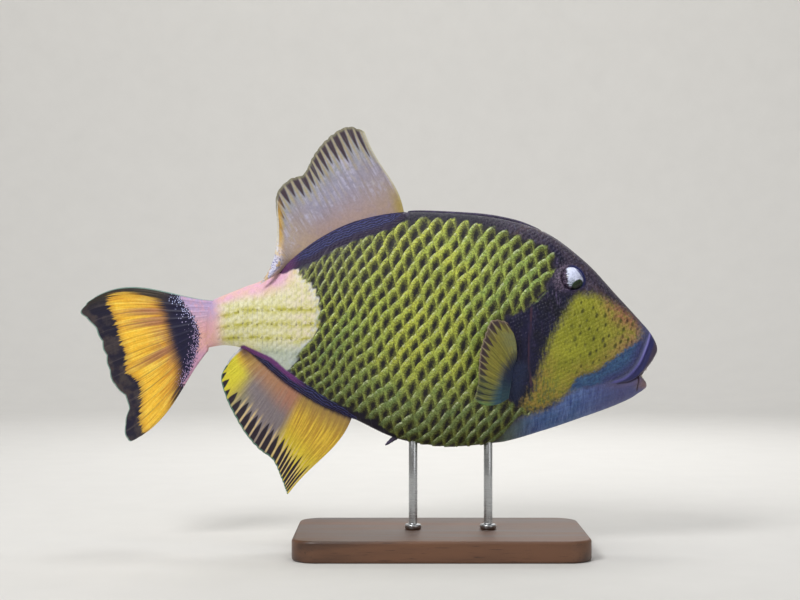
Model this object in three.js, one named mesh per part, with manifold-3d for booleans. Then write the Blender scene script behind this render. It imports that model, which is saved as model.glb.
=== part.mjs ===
// Titan triggerfish, a still life-size model on a plain display stand.
// Millimetres. The snout points along +X, the back along +Z, and the fish's right side faces -Y.
// The origin is at the middle of the underside of the stand's base.
import * as THREE from "three";
import { mergeVertices } from "three/addons/utils/BufferGeometryUtils.js";
import Module from "manifold-3d";

const wasm = await Module();
wasm.setup();

// Driving dimensions
const gap = 0.35; // clearance between neighbouring pieces
const baseLength = 300;
const baseWidth = 180;
const baseHeight = 22;
const baseCorner = 26;
const baseBevel = 3;
const rodRadius = 4.5;
const rodSink = 12; // how far a rod goes up into the belly
const rodPlaces = [-28, 50];
const bendStart = -120; // the tail begins to swing away from -Y behind this X
const bendRate = 0.0007; // sideways swing, per millimetre squared of distance behind bendStart
const headEnd = 7.33; // stations where the body is parted
const trunkEnd = 12.2;
const eyeRadius = 14;
const eyePlace = { x: 133.3, z: 280.6 };
const eyeProud = 7; // how far the eye stands out of the head, which shows 24 mm of it
const finEdge = 1.3; // thickness of every fin at its margin
const finRoot = 4.6;
const sides = 28; // facets round the body
const slabHalf = 60; // half width of a cut that goes right through the fish
const toothRow = { count: 6, spread: 1.1, reach: 10, length: 9.5, tip: 1.2, root: 2.2 };
const toothBed = { inset: 1.5, height: 6, clearance: 1.8, hollowHeight: 11 };
const toothPlaces = { upper: { x: 207, z: 191.5 }, lower: { x: 202.5, z: 179 } };
const spineShape = { front: 106, rear: -34, depth: 3.5, thick: 6.5, taper: 4.5, crown: 1.4, fall: 0.6 };
const pelvicKnob = { tip: 1, root: 3.4, length: 18, lean: 0.9, x: -50, z: 114.5 };

// Stations of the body from the lips to the tail: back X, Z, belly X, Z, and half width.
const stations = [
  [211.1, 182.8, 211.1, 182.8, 0],
  [219.4, 196.3, 215.8, 178.1, 11.5],
  [225.7, 209.5, 214.0, 169.0, 16.0],
  [219.4, 225.0, 204.5, 161.8, 20.0],
  [204.5, 242.5, 195.5, 156.3, 25.0],
  [182.0, 267.0, 174.7, 147.4, 31.5],
  [150.8, 300.3, 145.6, 137.0, 37.5],
  [109.2, 331.0, 109.2, 124.6, 42.0],
  [62.4, 346.1, 62.4, 111.6, 44.0],
  [10.4, 351.3, 10.4, 106.4, 43.0],
  [-41.6, 351.8, -41.6, 114.2, 39.5],
  [-88.4, 342.4, -88.4, 135.5, 34.0],
  [-124.8, 325.3, -124.8, 150.6, 28.5],
  [-156.0, 302.4, -156.0, 169.8, 23.5],
  [-182.0, 282.6, -182.0, 191.1, 19.0],
  [-202.8, 274.3, -202.8, 207.8, 16.0],
  [-222.6, 266.5, -222.6, 212.4, 13.0],
  [-236.1, 260.8, -239.2, 210.4, 8.2],
  [-242.3, 257.0, -247.6, 206.7, 4.0],
];
const lastStation = stations.length - 1;

// Outlines of the fins as X, Z: where each one leaves the body, and its free edge.
const dorsalRoot = [
  [-37.0, 348.0],
  [-67.6, 342.0],
  [-98.8, 334.0],
  [-124.8, 321.0],
  [-145.6, 305.0],
  [-163.3, 291.0],
];
const dorsalTip = [
  [-79.0, 436.0],
  [-94.6, 440.7],
  [-113.4, 431.9],
  [-131.0, 412.0],
  [-142.5, 390.8],
  [-155.0, 386.6],
  [-169.5, 371.0],
  [-169.5, 338.8],
  [-170.6, 312.8],
  [-176.8, 291.0],
  [-187.2, 275.4],
];
const analRoot = [
  [-90.0, 142.0],
  [-124.8, 157.0],
  [-156.0, 175.0],
  [-182.0, 196.0],
  [-203.5, 213.0],
];
const analTip = [
  [-159.1, 57.0],
  [-165.4, 73.6],
  [-174.7, 93.4],
  [-189.3, 104.8],
  [-203.8, 122.5],
  [-215.3, 142.2],
  [-223.6, 159.9],
  [-227.8, 179.7],
  [-219.6, 196.1],
];
const caudalRoot = [
  [-234.0, 259.5],
  [-239.5, 232.0],
  [-243.0, 206.5],
];
const caudalTip = [
  [-366.5, 262.5],
  [-378.5, 254.5],
  [-383.0, 246.5],
  [-367.8, 232.0],
  [-358.5, 210.9],
  [-352.2, 188.0],
  [-347.5, 171.5],
  [-337.5, 160.0],
  [-331.0, 149.6],
  [-334.5, 126.7],
  [-333.0, 112.0],
  [-329.0, 109.5],
  [-320.0, 115.5],
];
const pectoralRoot = [
  [75.3, 198.9],
  [71.1, 179.8],
  [67.3, 160.0],
];
const pectoralTip = [
  [66.3, 237.7],
  [57.7, 240.4],
  [50.2, 239.4],
  [45.9, 232.0],
  [42.6, 222.6],
  [39.8, 213.0],
  [37.9, 202.6],
  [37.2, 191.3],
  [36.9, 179.8],
  [34.9, 168.5],
  [33.9, 160.9],
  [37.9, 156.2],
];

// How far the first and the last ray of a fin bow off the straight line, in X and Z.
// A late bow has its fullest place two thirds of the way out. A wave bends the first ray into an S.
const dorsalBow = { first: [2.4, 0], last: [0, 0], late: 0, wave: 2.8 };
const analBow = { first: [2.8, -3.2], last: [-2, 0], late: 0, wave: 3.4 };
const caudalBow = { first: [0, 20.5], last: [10, -9], late: 1, wave: 0 };
const pectoralBow = { first: [4.2, 0.8], last: [0, -4.3], late: 0, wave: 0 };

function clay(color, roughness, metalness = 0) {
  return new THREE.MeshStandardMaterial({ color, roughness, metalness });
}

const materials = {
  head: clay(0x6d6440, 0.45),
  scales: clay(0x9aa03a, 0.5),
  tail: clay(0xd9d0a2, 0.5),
  spine: clay(0x3a2e3c, 0.5),
  fin: clay(0xd2a548, 0.5),
  darkFin: clay(0xb3a092, 0.5),
  eye: clay(0xe6e2d8, 0.15),
  teeth: clay(0xe8dfd0, 0.3),
  base: clay(0x6b4a30, 0.5),
  rod: clay(0xc2c4c6, 0.25, 1),
};

const mix = THREE.MathUtils.lerp;
const smooth = THREE.MathUtils.smoothstep;

// A Catmull-Rom curve through rows of numbers, one row to each whole step of s.
function along(rows, s) {
  const last = rows.length - 1;
  const i = Math.min(Math.floor(s), last - 1);
  const t = s - i;
  const before = rows[Math.max(i - 1, 0)];
  const after = rows[Math.min(i + 2, last)];
  return rows[i].map((a, k) => {
    const b = rows[i + 1][k];
    const slopeA = (b - before[k]) / 2;
    const slopeB = (after[k] - a) / 2;
    const rise = 3 * (b - a) - 2 * slopeA - slopeB;
    const turn = 2 * (a - b) + slopeA + slopeB;
    return a + t * (slopeA + t * (rise + t * turn));
  });
}

// The sideways swing of the body and fins at a given X.
function swing(x) {
  const behind = Math.max(bendStart - x, 0);
  return bendRate * behind * behind;
}

// Squared widths make the snout round instead of wedge-shaped.
const squared = stations.map((row) => [...row.slice(0, 4), row[4] * row[4]]);

// Back point, belly point and half width of the section at station s.
function section(s) {
  const [topX, topZ, lowX, lowZ, width2] = along(squared, s);
  return { topX, topZ, lowX, lowZ, width: Math.sqrt(Math.max(width2, 0)) };
}

// The section is an ellipse pinched towards its back and belly edges.
function pinch(s, height) {
  const back = mix(0.86, 1.22, smooth(s, 4, 9)) - 0.3 * smooth(s, 13, 16);
  const belly = mix(0.9, 1.18, smooth(s, 4, 8)) - 0.28 * smooth(s, 13, 16);
  return mix(belly, back, (1 + height) / 2);
}

// A point of the body's surface: station s, angle round from the back, grown outwards.
function bodyPoint(s, angle, grow) {
  const { topX, topZ, lowX, lowZ, width } = section(s);
  const height = Math.cos(angle);
  const half = Math.hypot(topX - lowX, topZ - lowZ) / 2;
  const stretch = half > 0.5 ? 1 + grow / half : 1;
  const x = (topX + lowX) / 2 + ((topX - lowX) / 2) * height * stretch;
  const z = (topZ + lowZ) / 2 + ((topZ - lowZ) / 2) * height * stretch;
  const sine = Math.sin(angle);
  const round = Math.abs(sine) ** pinch(s, height);
  const y = Math.sign(sine) * round * (width + grow);
  return new THREE.Vector3(x, y + swing(x), z);
}

// A closed length of the body from one station to another, as a bent cylinder with end caps.
function bodyLength(from, to, rings, grow = 0) {
  const tube = new THREE.CylinderGeometry(1, 1, 1, sides, rings);
  const place = tube.attributes.position;
  for (let i = 0; i < place.count; i++) {
    const x = place.getX(i);
    const z = place.getZ(i);
    const s = mix(from, to, 0.5 - place.getY(i));
    const radius = Math.hypot(x, z);
    const point = bodyPoint(s, radius > 0.5 ? Math.atan2(-x, z) : 0, grow);
    if (radius < 0.5) {
      point.copy(bodyPoint(s, 0, 0)).add(bodyPoint(s, Math.PI, 0));
      point.multiplyScalar(0.5);
    }
    place.setXYZ(i, point.x, point.y, point.z);
  }
  return tube;
}

// A closed three.js geometry as a manifold solid.
function solid(geometry) {
  const bare = geometry.clone();
  bare.deleteAttribute("normal");
  bare.deleteAttribute("uv");
  const merged = mergeVertices(bare, 1e-3);
  const mesh = new wasm.Mesh({
    numProp: 3,
    vertProperties: merged.attributes.position.array,
    triVerts: new Uint32Array(merged.index.array),
  });
  return new wasm.Manifold(mesh);
}

// A manifold solid back to a geometry.
function geometryOf(body) {
  const mesh = body.getMesh();
  const geometry = new THREE.BufferGeometry();
  geometry.setAttribute("position", new THREE.BufferAttribute(mesh.vertProperties, 3));
  geometry.setIndex(new THREE.BufferAttribute(mesh.triVerts, 1));
  geometry.computeVertexNormals();
  return geometry;
}

// A slab through the whole fish whose outline in X and Z is given, from side to side.
function slab(points) {
  const outline = new THREE.Shape(points.map(([x, z]) => new THREE.Vector2(x, z)));
  const settings = { depth: 2 * slabHalf, bevelEnabled: false };
  const block = new THREE.ExtrudeGeometry(outline, settings);
  block.rotateX(Math.PI / 2);
  block.translate(0, slabHalf, 0);
  return solid(block);
}

function curveThrough(points) {
  const vectors = points.map(([x, z]) => new THREE.Vector3(x, 0, z));
  return new THREE.CatmullRomCurve3(vectors, false, "centripetal");
}

// A fin as a thin curved slab: u runs along its base, v from its base to its margin.
function finPlate(fin) {
  const root = curveThrough(fin.root);
  const tip = curveThrough(fin.tip);
  const plate = new THREE.BoxGeometry(1, 1, 1, fin.across, fin.outward, 1);
  const place = plate.attributes.position;
  for (let i = 0; i < place.count; i++) {
    const u = place.getX(i) + 0.5;
    const v = place.getY(i) + 0.5;
    const start = root.getPointAt(u);
    const end = tip.getPointAt(u);
    const firstPart = Math.max(1 - 2 * u, 0);
    const lastPart = Math.max(2 * u - 1, 0);
    const bow = 4 * v ** (1 + fin.bow.late) * (1 - v);
    const bowX = fin.bow.first[0] * firstPart + fin.bow.last[0] * lastPart;
    const bowZ = fin.bow.first[1] * firstPart + fin.bow.last[1] * lastPart;
    const wave = fin.bow.wave * Math.sin(2 * Math.PI * v) * firstPart * firstPart;
    const x = mix(start.x, end.x, v) + bow * bowX + wave;
    const z = mix(start.z, end.z, v) + bow * bowZ;
    const thickness = mix(fin.rootThickness, finEdge, Math.sqrt(v));
    const y = fin.lie(u, v, x) + place.getZ(i) * thickness * fin.turn;
    place.setXYZ(i, x, y, z);
  }
  return solid(plate);
}

// Ripples and curls of each fin, as the sideways place of its middle sheet.
function dorsalLie(u, v, x) {
  const ripple = 4 * v * Math.sin(7 * u);
  const curl = -19 * smooth(u, 0.72, 1) * Math.min(1.6 * v, 1);
  return swing(x) + ripple + curl;
}

function analLie(u, v, x) {
  const ripple = 4 * v * Math.sin(6.5 * u + 0.6);
  const curl = -9 * smooth(u, 0.7, 1) * v;
  return swing(x) + ripple + curl;
}

function caudalLie(u, v, x) {
  const twist = 16 * v * v * (u - 0.3);
  const ripple = 1.6 * v * Math.sin(12 * u);
  return swing(x) + twist + ripple;
}

// The right pectoral fin leaves the flank and lies back along it, a little open.
function pectoralLie(u, v) {
  const open = -47 - 15 * v;
  const cup = 5 * v * (2 * u - 1) ** 2;
  return mix(-40, open + cup, Math.min(4 * v, 1));
}

const fins = {
  dorsal: {
    root: dorsalRoot,
    tip: dorsalTip,
    bow: dorsalBow,
    lie: dorsalLie,
    across: 26,
    outward: 6,
    rootThickness: finRoot,
    turn: 1,
  },
  anal: {
    root: analRoot,
    tip: analTip,
    bow: analBow,
    lie: analLie,
    across: 22,
    outward: 6,
    rootThickness: finRoot,
    turn: -1,
  },
  caudal: {
    root: caudalRoot,
    tip: caudalTip,
    bow: caudalBow,
    lie: caudalLie,
    across: 18,
    outward: 7,
    rootThickness: 6.5,
    turn: 1,
  },
  pectoral: {
    root: pectoralRoot,
    tip: pectoralTip,
    bow: pectoralBow,
    lie: pectoralLie,
    across: 12,
    outward: 4,
    rootThickness: 4,
    turn: 1,
  },
};

const group = new THREE.Group();

function addNode(name, geometry, material) {
  const mesh = new THREE.Mesh(geometry, material);
  mesh.name = name;
  group.add(mesh);
}

// Stand: a flat base and two rods that go up into the belly.
function baseGeometry() {
  const inset = baseBevel;
  const halfX = baseLength / 2 - inset;
  const halfY = baseWidth / 2 - inset;
  const r = baseCorner - inset;
  const outline = new THREE.Shape();
  outline.moveTo(-halfX + r, -halfY);
  outline.lineTo(halfX - r, -halfY);
  outline.absarc(halfX - r, -halfY + r, r, -Math.PI / 2, 0, false);
  outline.lineTo(halfX, halfY - r);
  outline.absarc(halfX - r, halfY - r, r, 0, Math.PI / 2, false);
  outline.lineTo(-halfX + r, halfY);
  outline.absarc(-halfX + r, halfY - r, r, Math.PI / 2, Math.PI, false);
  outline.lineTo(-halfX, -halfY + r);
  outline.absarc(-halfX + r, -halfY + r, r, Math.PI, 1.5 * Math.PI, false);
  const plate = new THREE.ExtrudeGeometry(outline, {
    depth: baseHeight - 2 * baseBevel,
    bevelThickness: baseBevel,
    bevelSize: baseBevel,
    bevelSegments: 1,
    curveSegments: 4,
  });
  plate.translate(0, 0, baseBevel);
  return plate;
}

// Height of the belly or of the back at a given X, found by stepping along the body.
function profileAt(x, belly) {
  let low = 2;
  let high = lastStation;
  for (let i = 0; i < 30; i++) {
    const middle = (low + high) / 2;
    const place = section(middle);
    if ((belly ? place.lowX : place.topX) > x) low = middle;
    else high = middle;
  }
  const place = section(low);
  return belly ? place.lowZ : place.topZ;
}

function rodGeometry(x, grow) {
  const low = baseHeight + gap;
  const high = profileAt(x, true) + rodSink + grow;
  const rod = new THREE.CylinderGeometry(rodRadius + grow, rodRadius + grow, high - low, 16);
  rod.rotateX(Math.PI / 2);
  rod.translate(x, 0, (high + low) / 2);
  return rod;
}

addNode("stand_base", baseGeometry(), materials.base);
const rodNames = ["stand_rod_rear", "stand_rod_front"];
rodPlaces.forEach((x, i) => addNode(rodNames[i], rodGeometry(x, 0), materials.rod));

// Flank of the body at a given place, as the half width of the fish there.
function flankAt(x, z) {
  let low = 1;
  let high = lastStation;
  for (let i = 0; i < 30; i++) {
    const middle = (low + high) / 2;
    const place = section(middle);
    const share = (z - place.lowZ) / (place.topZ - place.lowZ);
    if (mix(place.lowX, place.topX, share) > x) low = middle;
    else high = middle;
  }
  const place = section(low);
  const height = (2 * (z - place.lowZ)) / (place.topZ - place.lowZ) - 1;
  return place.width * Math.sqrt(1 - height * height) ** pinch(low, height);
}

// Eyeball, on one side of the head: side is -1 for the right and 1 for the left.
function eyeBall(side, grow) {
  const ball = new THREE.SphereGeometry(eyeRadius + grow, 14, 10);
  const out = flankAt(eyePlace.x, eyePlace.z) + eyeProud - eyeRadius;
  ball.translate(eyePlace.x, side * out, eyePlace.z);
  return ball;
}

// The folded first dorsal fin: a locking spine that lies back in its groove.
function foldedSpine(grow) {
  const { front, rear, depth, thick, taper, crown, fall } = spineShape;
  const rod = new THREE.BoxGeometry(1, 1, 1, 12, 1, 1);
  const place = rod.attributes.position;
  for (let i = 0; i < place.count; i++) {
    const share = 0.5 - place.getX(i);
    const x = mix(front + grow, rear - grow, share);
    const width = thick - taper * share + 2 * grow;
    const proud = crown * smooth(share, 0, 0.2) - fall * share;
    const low = profileAt(x, false) - depth - grow;
    const high = profileAt(x, false) + proud + grow;
    place.setXYZ(i, x, place.getY(i) * width, mix(low, high, place.getZ(i) + 0.5));
  }
  return rod;
}

// The rough knob at the end of the hip bone, which points down and back under the belly.
function pelvicSpine() {
  const cone = new THREE.CylinderGeometry(pelvicKnob.tip, pelvicKnob.root, pelvicKnob.length, 10, 2);
  cone.rotateX(-Math.PI / 2);
  cone.rotateY(pelvicKnob.lean);
  cone.translate(pelvicKnob.x, 0, pelvicKnob.z);
  return cone;
}

// Outline of the lower jaw in X and Z: along the mouth to its corner, then down to the chin.
const jawOutline = [
  [240, 187.5],
  [210, 183.6],
  [205, 178.8],
  [197, 175.4],
  [183, 174.4],
  [173, 157],
  [168, 120],
  [240, 120],
];
// Outline in X and Z of what is hollowed from the front of the lips, where they close.
const lipNotch = [
  [226.8, 209],
  [220.5, 197],
  [211, 184.3],
  [214.5, 181.5],
  [217.5, 178],
  [232, 176],
  [240, 212],
];
const jawFar = { x: 240, z: 120 };
const jawGrowth = 1.008; // leaves the gap along the mouth and behind the jaw

// The hollow that holds the bed and roots of one jaw's teeth.
function toothHollow({ x, z }) {
  const radius = toothRow.reach + toothBed.clearance;
  const hollow = new THREE.CylinderGeometry(radius, radius, toothBed.hollowHeight, 12);
  hollow.rotateX(Math.PI / 2);
  hollow.translate(x, 0, z);
  return hollow;
}

// Blunt chisel teeth round the front of one jaw, on a round bed inside the lip.
// They point along way, which is 1 for up and -1 for down.
function teeth({ x, z }, way) {
  const { count, spread, reach, length, tip, root } = toothRow;
  const radius = reach - toothBed.inset;
  const bed = new THREE.CylinderGeometry(radius, radius, toothBed.height, 12);
  bed.rotateX(Math.PI / 2);
  bed.translate(x, 0, z);
  let row = solid(bed);
  for (let i = 0; i < count; i++) {
    const angle = mix(-spread, spread, i / (count - 1));
    const tooth = new THREE.CylinderGeometry(tip, root, length, 6);
    tooth.rotateX((way * Math.PI) / 2);
    const front = x - 0.6 + reach * Math.cos(angle);
    tooth.translate(front, (reach - 1) * Math.sin(angle), z);
    row = row.add(solid(tooth));
  }
  return row;
}

const grownBody = solid(bodyLength(0.02, lastStation, 44, gap));
const cutStep = gap / 90; // half a cut across the body, as a share of a station

function cutAll(body, others) {
  return others.reduce((rest, other) => rest.subtract(other), body);
}

// Head, with its eye sockets and groove, parted along the mouth into skull and lower jaw
const sockets = [-1, 1].map((side) => solid(eyeBall(side, gap)));
const spineGroove = solid(foldedSpine(gap));
const toothHollows = Object.values(toothPlaces).map((place) => solid(toothHollow(place)));
const wholeHead = solid(bodyLength(0.02, headEnd - cutStep, 16));
const hollows = [...sockets, spineGroove, ...toothHollows, slab(lipNotch)];
const head = cutAll(wholeHead, hollows);
const largerJaw = jawOutline.map(([x, z]) => [
  mix(jawFar.x, x, jawGrowth),
  mix(jawFar.z, z, jawGrowth),
]);
addNode("head", geometryOf(head.subtract(slab(largerJaw))), materials.head);
addNode("lower_jaw", geometryOf(head.intersect(slab(jawOutline))), materials.head);
addNode("upper_teeth", geometryOf(teeth(toothPlaces.upper, -1)), materials.teeth);
addNode("lower_teeth", geometryOf(teeth(toothPlaces.lower, 1)), materials.teeth);
addNode("eye_right", eyeBall(-1, 0), materials.eye);
addNode("eye_left", eyeBall(1, 0), materials.eye);

// Trunk and the narrow root of the tail
const rodHoles = rodPlaces.map((x) => solid(rodGeometry(x, gap)));
const wholeTrunk = solid(bodyLength(headEnd + cutStep, trunkEnd - cutStep, 15));
const trunk = cutAll(wholeTrunk, [spineGroove, ...rodHoles]);
addNode("trunk", geometryOf(trunk), materials.scales);
addNode("peduncle", bodyLength(trunkEnd + cutStep, lastStation, 12), materials.tail);
addNode("dorsal_spines", foldedSpine(0), materials.spine);

// Fins, cut clear of the body they grow from
function addFin(name, fin, material) {
  addNode(name, geometryOf(finPlate(fin).subtract(grownBody)), material);
}

addFin("dorsal_fin", fins.dorsal, materials.darkFin);
addFin("anal_fin", fins.anal, materials.fin);
addFin("caudal_fin", fins.caudal, materials.fin);
addFin("pectoral_fin_right", fins.pectoral, materials.darkFin);
const leftPectoral = { ...fins.pectoral, lie: (u, v) => -pectoralLie(u, v) };
addFin("pectoral_fin_left", leftPectoral, materials.darkFin);
const pelvic = solid(pelvicSpine()).subtract(grownBody);
addNode("pelvic_spine", geometryOf(pelvic), materials.spine);

export default group;
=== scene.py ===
import math
import bpy
import numpy as np
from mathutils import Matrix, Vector


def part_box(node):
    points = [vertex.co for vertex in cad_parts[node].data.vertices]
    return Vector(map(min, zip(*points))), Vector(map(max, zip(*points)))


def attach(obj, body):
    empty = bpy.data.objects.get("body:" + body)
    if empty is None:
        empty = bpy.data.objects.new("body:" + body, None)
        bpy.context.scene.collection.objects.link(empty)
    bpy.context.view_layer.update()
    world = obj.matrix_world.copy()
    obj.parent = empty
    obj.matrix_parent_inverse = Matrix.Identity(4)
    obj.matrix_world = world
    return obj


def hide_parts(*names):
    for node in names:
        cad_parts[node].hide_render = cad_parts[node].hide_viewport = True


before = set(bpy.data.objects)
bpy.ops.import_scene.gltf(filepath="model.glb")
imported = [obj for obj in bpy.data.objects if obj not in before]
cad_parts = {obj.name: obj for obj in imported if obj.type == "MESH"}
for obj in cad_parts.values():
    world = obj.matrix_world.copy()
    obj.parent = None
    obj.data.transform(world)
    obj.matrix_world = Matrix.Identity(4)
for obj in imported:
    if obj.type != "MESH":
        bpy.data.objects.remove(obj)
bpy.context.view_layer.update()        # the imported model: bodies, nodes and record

# Titan triggerfish on its stand. X runs to the snout, Z up, and the right side faces -Y.
# Shapes are worked out in millimetres and go into the meshes in metres.
mm = 0.001
rng = np.random.default_rng(41)
scene = bpy.context.scene
sideNames = {-1: "right", 1: "left"}


# Colours and nodes

def hexColor(text):
    # sRGB hex to linear: each channel c becomes ((c + 0.055) / 1.055) to the power 2.4
    c = np.array([int(text[i:i + 2], 16) for i in (1, 3, 5)]) / 255
    linear = np.where(c <= 0.04045, c / 12.92, ((c + 0.055) / 1.055) ** 2.4)
    return (*[float(x) for x in linear], 1.0)


class Wire:
    # one output of a node; sums on wires and numbers put math nodes into the tree being filled
    tree = None

    def __init__(self, socket):
        self.socket = socket

    def other(self, name):
        # another output of the same node
        return Wire(self.socket.node.outputs[name])

    def __add__(self, b):
        return calc("ADD", self, b)

    def __radd__(self, a):
        return calc("ADD", a, self)

    def __sub__(self, b):
        return calc("SUBTRACT", self, b)

    def __rsub__(self, a):
        return calc("SUBTRACT", a, self)

    def __mul__(self, b):
        return calc("MULTIPLY", self, b)

    def __truediv__(self, b):
        return calc("DIVIDE", self, b)

    def __pow__(self, b):
        return calc("POWER", self, b)

    def __abs__(self):
        return calc("ABSOLUTE", self)


def put(kind, values, output=0):
    # one node in the tree being filled: sets its properties and inputs, joins the wires, gives one output
    node = Wire.tree.nodes.new(kind)
    for key, value in values.items():
        if isinstance(value, Wire):
            Wire.tree.links.new(value.socket, node.inputs[key])
        elif isinstance(key, str) and hasattr(node, key):
            setattr(node, key, value)
        else:
            node.inputs[key].default_value = hexColor(value) if isinstance(value, str) else value
    return Wire(node.outputs[output]) if node.outputs else None


def calc(operation, a, b=None):
    # a sum on wires or numbers
    values = {"operation": operation, 0: a}
    return put("ShaderNodeMath", values if b is None else values | {1: b})


def parts(vector):
    # the three parts of a vector
    split = put("ShaderNodeSeparateXYZ", {0: vector})
    return [split.other(k) for k in range(3)]


def stored(name):
    # the three numbers that a mesh stores under a name
    return parts(put("ShaderNodeAttribute", {"attribute_name": name}, "Vector"))


def fade(value, low, high, a=0.0, b=1.0):
    # a where the value is under low, b where it is over high, smooth between
    values = {"interpolation_type": "SMOOTHSTEP", 0: value, 1: low, 2: high, 3: a, 4: b}
    return put("ShaderNodeMapRange", values)


def grains(sizeMm, detail=3.0, rough=0.55, stretch=None, kind="ShaderNodeTexNoise"):
    # a pattern in object space whose grains are about sizeMm across
    place = put("ShaderNodeTexCoord", {}, "Object")
    if stretch:
        place = put("ShaderNodeMapping", {"Scale": stretch, 0: place})
    return put(kind, {"Scale": 1 / (sizeMm * mm), "Detail": detail, "Roughness": rough, 0: place})


def layered(colour, *coats):
    # a colour under coats of other colours, each laid on where its mask is 1
    for mask, top in coats:
        colour = put("ShaderNodeMix", {"data_type": "RGBA", 0: mask, 6: colour, 7: top}, 2)
    return colour


def shaded(colour, amount, dark, light):
    # a colour times a grey that goes from dark to light as amount goes from 0 to 1
    grey = fade(amount, 0.0, 1.0, dark, light)
    grey = put("ShaderNodeCombineColor", {0: grey, 1: grey, 2: grey})
    values = {"data_type": "RGBA", "blend_type": "MULTIPLY", 0: 1.0, 6: colour, 7: grey}
    return put("ShaderNodeMix", values, 2)


def relief(height, depthMm, strength=1.0, under=None):
    # a bump whose full height is depthMm, over the one under it
    values = {"Strength": strength, "Distance": depthMm * mm, "Height": height}
    return put("ShaderNodeBump", values if under is None else values | {"Normal": under})


def newMaterial(name, finish, *settings):
    # a Principled material whose inputs are what the finish works out
    material = bpy.data.materials.new(name)
    material.use_nodes = True
    Wire.tree = material.node_tree
    Wire.tree.nodes.clear()
    shader = put("ShaderNodeBsdfPrincipled", finish(*settings))
    put("ShaderNodeOutputMaterial", {"Surface": shader})
    return material


# Meshes

def gridQuads(rows, cols, around=False, start=0):
    # four-sided faces of a grid of points, closed round its columns if asked
    r = np.arange(rows - 1)[:, None]
    c = np.arange(cols if around else cols - 1)[None, :]
    nextCol = (c + 1) % cols
    quads = np.stack([r * cols + c, r * cols + nextCol, (r + 1) * cols + nextCol, (r + 1) * cols + c], -1)
    return quads.reshape(-1, 4) + start


def makePiece(name, pointsMm, faces, material, fields=None, bakeUv=None, nodes=()):
    # points in mm, faces as rows of corners, fields stored for each point, bakeUv for each point
    mesh = bpy.data.meshes.new(name)
    faceRows = [row for part in faces for row in part.tolist()]
    mesh.from_pydata((pointsMm.reshape(-1, 3) * mm).tolist(), [], faceRows)
    mesh.validate()
    for key, values in (fields or {}).items():
        layer = mesh.attributes.new(key, "FLOAT_VECTOR", "POINT")
        layer.data.foreach_set("vector", np.ascontiguousarray(values, dtype=np.float32).ravel())
    corners = np.empty(len(mesh.loops), dtype=np.int32)
    mesh.loops.foreach_get("vertex_index", corners)
    if bakeUv is not None:
        layer = mesh.uv_layers.new(name="OFBake")
        layer.data.foreach_set("uv", np.ascontiguousarray(bakeUv[corners], dtype=np.float32).ravel())
    mesh.polygons.foreach_set("use_smooth", np.ones(len(mesh.polygons), bool))
    mesh.materials.append(material)
    mesh.update()
    piece = bpy.data.objects.new(name, mesh)
    scene.collection.objects.link(piece)
    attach(piece, "root")
    if nodes:
        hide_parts(*nodes)
    return piece


def outward(points, faces):
    # faces turned round if the volume that they close is negative: a third of the sum of area times distance
    volume = 0.0
    for k in range(1, faces.shape[1] - 1):
        a, b, c = points[faces[:, 0]], points[faces[:, k]], points[faces[:, k + 1]]
        volume += np.einsum("ij,ij->i", a, np.cross(b, c)).sum()
    return faces if volume > 0 else faces[:, ::-1]


def tubeFaces(points, rows, around):
    # rings joined in turn, and a fan of triangles at each end round the last two points
    k, following = np.arange(around), (np.arange(around) + 1) % around
    count, last = rows * around, (rows - 1) * around
    quads = gridQuads(rows, around, True)
    fans = np.vstack([np.stack([np.full(around, count), following, k], -1),
                      np.stack([np.full(around, count + 1), last + k, last + following], -1)])
    if outward(points, quads) is not quads:
        quads, fans = quads[:, ::-1], fans[:, ::-1]
    return [quads, fans]


def closedTube(name, grid, material, nodes, fields=None, bakeUv=None):
    # rings of points joined in turn, with a point in the middle of each end
    points = np.vstack([grid.reshape(-1, 3), grid[0].mean(0), grid[-1].mean(0)])
    faces = tubeFaces(points, *grid.shape[:2])
    return makePiece(name, points, faces, material, fields, bakeUv, nodes)


def alike(*arrays):
    # numbers and arrays brought to one shape
    return np.broadcast_arrays(*[np.asarray(a, float) for a in arrays])


def pairs(a, b):
    # every entry of a with every entry of b
    return (k.ravel() for k in np.meshgrid(a, b, indexing="ij"))


def unit(v):
    # v over its own length
    return v / np.maximum(np.linalg.norm(v, axis=-1, keepdims=True), 1e-9)


def turns(count):
    # even angles round a circle
    return (np.arange(count) / count * 2 * math.pi)[None, :]


def smoothStep(x, low, high):
    # 0 under low, 1 over high, 3t^2 - 2t^3 between
    t = np.clip((x - low) / (high - low), 0, 1)
    return t * t * (3 - 2 * t)


# Body shape, the same sections as the model's solids

body = {
    "bendStart": -120.0,    # mm, the tail swings away from -Y behind this X
    "bendRate": 0.0007,     # per mm squared
    "coatDepth": 1.4,      # mm, how far the skin lies under the tips of the big scales
    "headCoatDepth": 0.35,
    "headRows": 190,        # rows of skin faces from the lips to the gill slit
    "trunkRows": 84,
    "tailRows": 30,
    "around": 288,
}
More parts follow.
